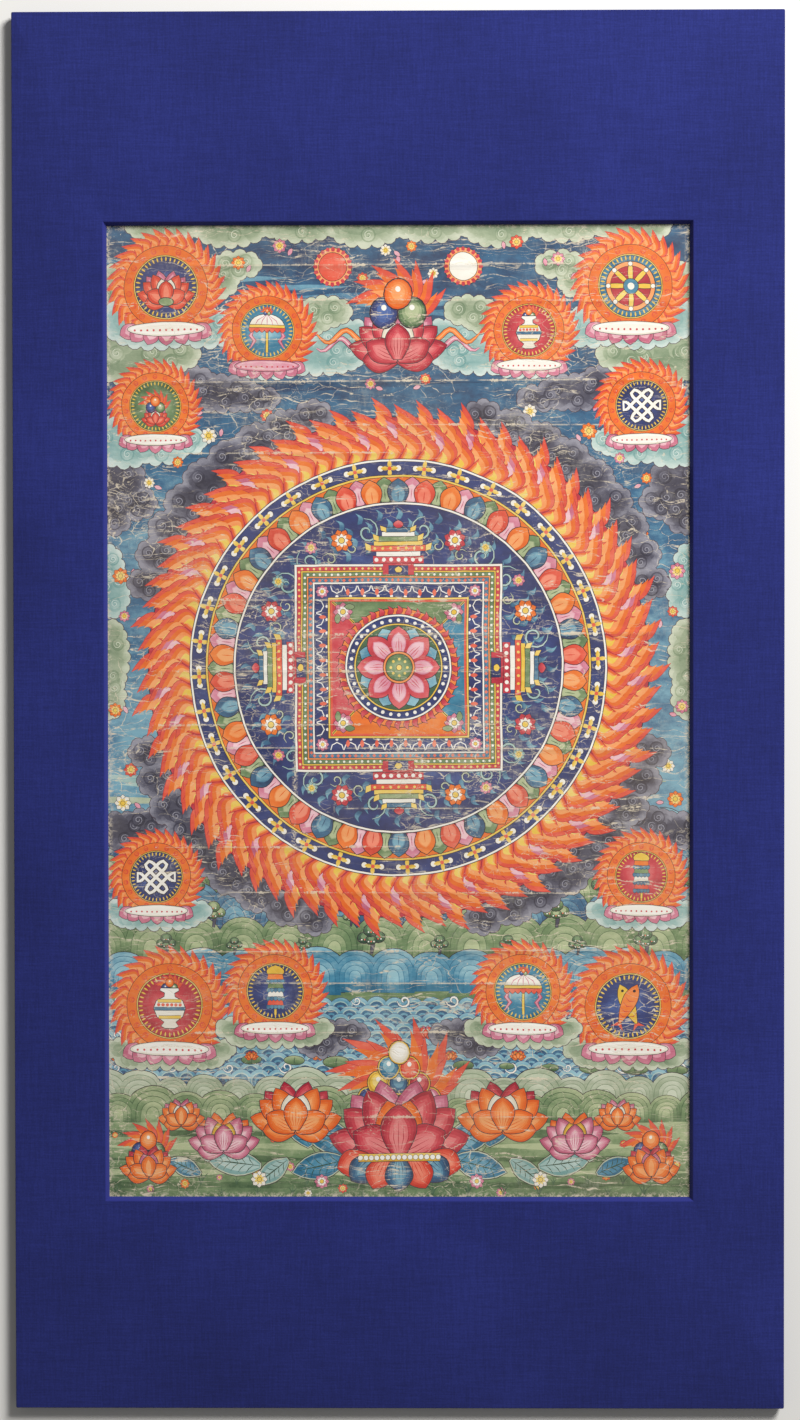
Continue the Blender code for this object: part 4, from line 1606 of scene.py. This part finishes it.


# Dyed cotton book cloth, plain woven and glued down: dead matte, with slubs along both threads,
# and a paler blue painted on the bevel down into the window as a painted highlight.
# The real thread is 0.5 mm; here it is drawn about 1.5 mm so that it shows.
def coverMaterial():
    material, tree, shader = newMaterial("navyBookCloth", 0.94, 0.18, 0.12)
    here = addNode(tree, "ShaderNodeTexCoord").outputs["Object"]
    weft, warp, fleck, broad = [addNoise(tree, here, scale, stretch, 3) for scale, stretch in (
        (40, (1, 16, 4)), (40, (16, 1, 4)), (480, (1, 1, 1)), (6, (1, 1, 1)))]
    threads = doMath(tree, "ADD", weft, warp, fleck)
    shade = doMath(tree, "ADD", doMath(tree, "MULTIPLY", threads, 0.36),
                   doMath(tree, "MULTIPLY", broad, 0.42))
    color = addRamp(tree, shade, ((0.57, "#1F255F"), (0.75, "#242B6D"), (0.93, "#2A327B")))
    # Painted highlight: the window's bevel lips are blended towards a paler blue
    lipHighlight = addNode(tree, "ShaderNodeAttribute", attribute_name="lipHighlight").outputs["Fac"]
    color = blend(tree, lipHighlight, color, srgb(coverUser["lipHighlightColor"]))
    finishMaterial(tree, shader, color, threads, 0.35, 0.0003)
    return material


# A rectangle about the middle with round corners, as points in order
def roundedLoop(halfWidth, halfHeight, radius, steps):
    loop = []
    for sx, sy, first in ((1, 1, 0), (-1, 1, 90), (-1, -1, 180), (1, -1, 270)):
        for i in range(steps + 1):
            angle = math.radians(first + 90 * i / steps)
            loop.append((sx * (halfWidth - radius) + radius * math.cos(angle),
                         sy * (halfHeight - radius) + radius * math.sin(angle)))
    return loop


def makeCover():
    front = coverHigh[2] / mm
    back = coverLow[2] / mm
    thick = coverUser["thickness"]
    lip = sheetLow[2] / mm + sheetUser["thickness"] + coverUser["aboveSheet"]
    panelHalf = (coverHigh[0] / mm, coverHigh[1] / mm)
    windowHalf = (window["width"] / 2, window["height"] / 2)
    drop = front - lip
    slant = math.hypot(drop, coverUser["bevelRun"])

    def fromPanel(inset, z):
        return panelHalf[0] - inset, panelHalf[1] - inset, z

    def fromWindow(outset, z):
        return windowHalf[0] + outset, windowHalf[1] + outset, z

    def onBevel(depth, z):
        return fromWindow(depth * slant / drop - coverUser["bevelRun"] * (front - z) / drop, z)

    section = [fromPanel(coverUser["backTurnIn"], back)]
    quarter = [math.radians(22.5 * i) for i in range(5)]
    early = [thick * (1 - math.sin(a)) for a in quarter]
    late = [thick * (1 - math.cos(a)) for a in quarter]
    section += [fromPanel(a, back + b) for a, b in zip(early, late)]
    section += [fromPanel(b, front - a) for a, b in zip(early, late)]
    section += [onBevel(a, front - b) for a, b in zip(early, late)]
    section += [onBevel(b, lip + a) for a, b in zip(early, late)]
    section += [fromWindow(coverUser["windowTurnIn"], lip),
                fromWindow(coverUser["windowTurnIn"], lip + thick),
                onBevel(thick, lip + thick), onBevel(thick, front - thick),
                fromPanel(thick, front - thick), fromPanel(thick, back + thick),
                fromPanel(coverUser["backTurnIn"], back + thick)]
    bm = bmesh.new()
    # Painted highlight mask: 1 on the window's bevel, fading to 0 within the cloth's thickness past
    # it
    lipHighlight = bm.verts.layers.float.new("lipHighlight")
    loops = []
    for halfWidth, halfHeight, z in section:
        inside = halfWidth < (panelHalf[0] + windowHalf[0]) / 2
        radius = coverUser["windowRadius" if inside else "cornerRadius"]
        loop = roundedLoop(halfWidth, halfHeight, radius, coverUser["cornerSteps"])
        loops.append([bm.verts.new((x * mm, y * mm, z * mm)) for x, y in loop])
        for vertex in loops[-1]:
            vertex[lipHighlight] = mix(1.0, 0.0, (halfWidth - windowHalf[0]) / thick)
    for loop, following in zip(loops, loops[1:] + loops[:1]):
        for i in range(len(loop)):
            j = (i + 1) % len(loop)
            bm.faces.new((loop[i], loop[j], following[j], following[i]))
    bmesh.ops.remove_doubles(bm, verts=bm.verts, dist=0.00001)
    mesh = smoothMesh("mount_cover", bm, 35)
    piece = newPiece("mount_cover", mesh, coverMaterial())
    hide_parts("mount_cloth")
    print("cover made")


# Dense card: grey-buff with short fibres, uncoated
def boardMaterial(name, dark, light):
    material, tree, shader = newMaterial(name, 0.93, 0.25)
    here = addNode(tree, "ShaderNodeTexCoord").outputs["Object"]
    fibre = addNoise(tree, here, 260, (1, 3, 1), 4, 0.65)
    shade = doMath(tree, "ADD", doMath(tree, "MULTIPLY", fibre, 0.7),
                   doMath(tree, "MULTIPLY", addNoise(tree, here, 7), 0.3))
    color = addRamp(tree, shade, ((0.35, dark), (0.65, light)))
    finishMaterial(tree, shader, color, fibre, 0.2, 0.0002)
    return material


def dressBoards():
    for node, name, dark, light in (("mount_board", "greyMountCard", "#A39C8E", "#BBB4A6"),
                                    ("backing_board", "buffBackingBoard", "#B3A388", "#CDBFA5")):
        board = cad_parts[node]
        board.data.materials.clear()
        board.data.materials.append(boardMaterial(name, dark, light))
    print("boards dressed")


stageUser = {
    "floorColor": "#ECEAE5", "floorReach": 6.0, "worldStrength": 0.16,
    "keyPower": 243.0, "keySize": 1.5, "keyPlace": (2.1, 2.6, 2.7),
}
cameraUser = {
    "lens": 70.0, "place": (0.0333, 0.0514, 2.986), "turn": (-0.945, 0.610, -0.081),
}


def makeStage():
    mesh = bpy.data.meshes.new("floor")
    reach = stageUser["floorReach"]
    mesh.from_pydata([(x, y, 0) for x, y in box(-reach, -reach, reach, reach)], [], [(0, 1, 2, 3)])
    material, tree, shader = newMaterial("paleFloor", 0.9, 0.2)
    shader.inputs["Base Color"].default_value = srgb(stageUser["floorColor"])
    mesh.materials.append(material)
    addObject("floor", mesh)
    world = bpy.data.worlds.new("studio")
    world.use_nodes = True
    sky = world.node_tree.nodes["Background"]
    sky.inputs["Color"].default_value = (1, 1, 1, 1)
    sky.inputs["Strength"].default_value = stageUser["worldStrength"]
    bpy.context.scene.world = world
    lamp = bpy.data.lights.new("key", "AREA")
    lamp.energy = stageUser["keyPower"]
    lamp.size = stageUser["keySize"]
    key = addObject("key", lamp)
    key.location = stageUser["keyPlace"]
    key.rotation_euler = (-key.location).to_track_quat("-Z", "Y").to_euler()
    print("stage set")


def makeCamera():
    lens = bpy.data.cameras.new("camera")
    lens.lens = cameraUser["lens"]
    lens.sensor_width = 36.0
    lens.clip_end = 50.0
    camera = addObject("camera", lens)
    camera.location = cameraUser["place"]
    camera.rotation_euler = [math.radians(a) for a in cameraUser["turn"]]
    bpy.context.scene.camera = camera
    bpy.context.scene.view_settings.view_transform = "Standard"


makeCamera()
makeStage()
wear = makeWear()
for name, (deep, body, pale, fragile) in paintUser.items():
    pigments[name] = paintMaterial(name, deep, body, pale, fragile, wear)
paintPicture()
bpy.data.objects.remove(stencil)
makeSheet()
makeFilms()
makeCover()
dressBoards()
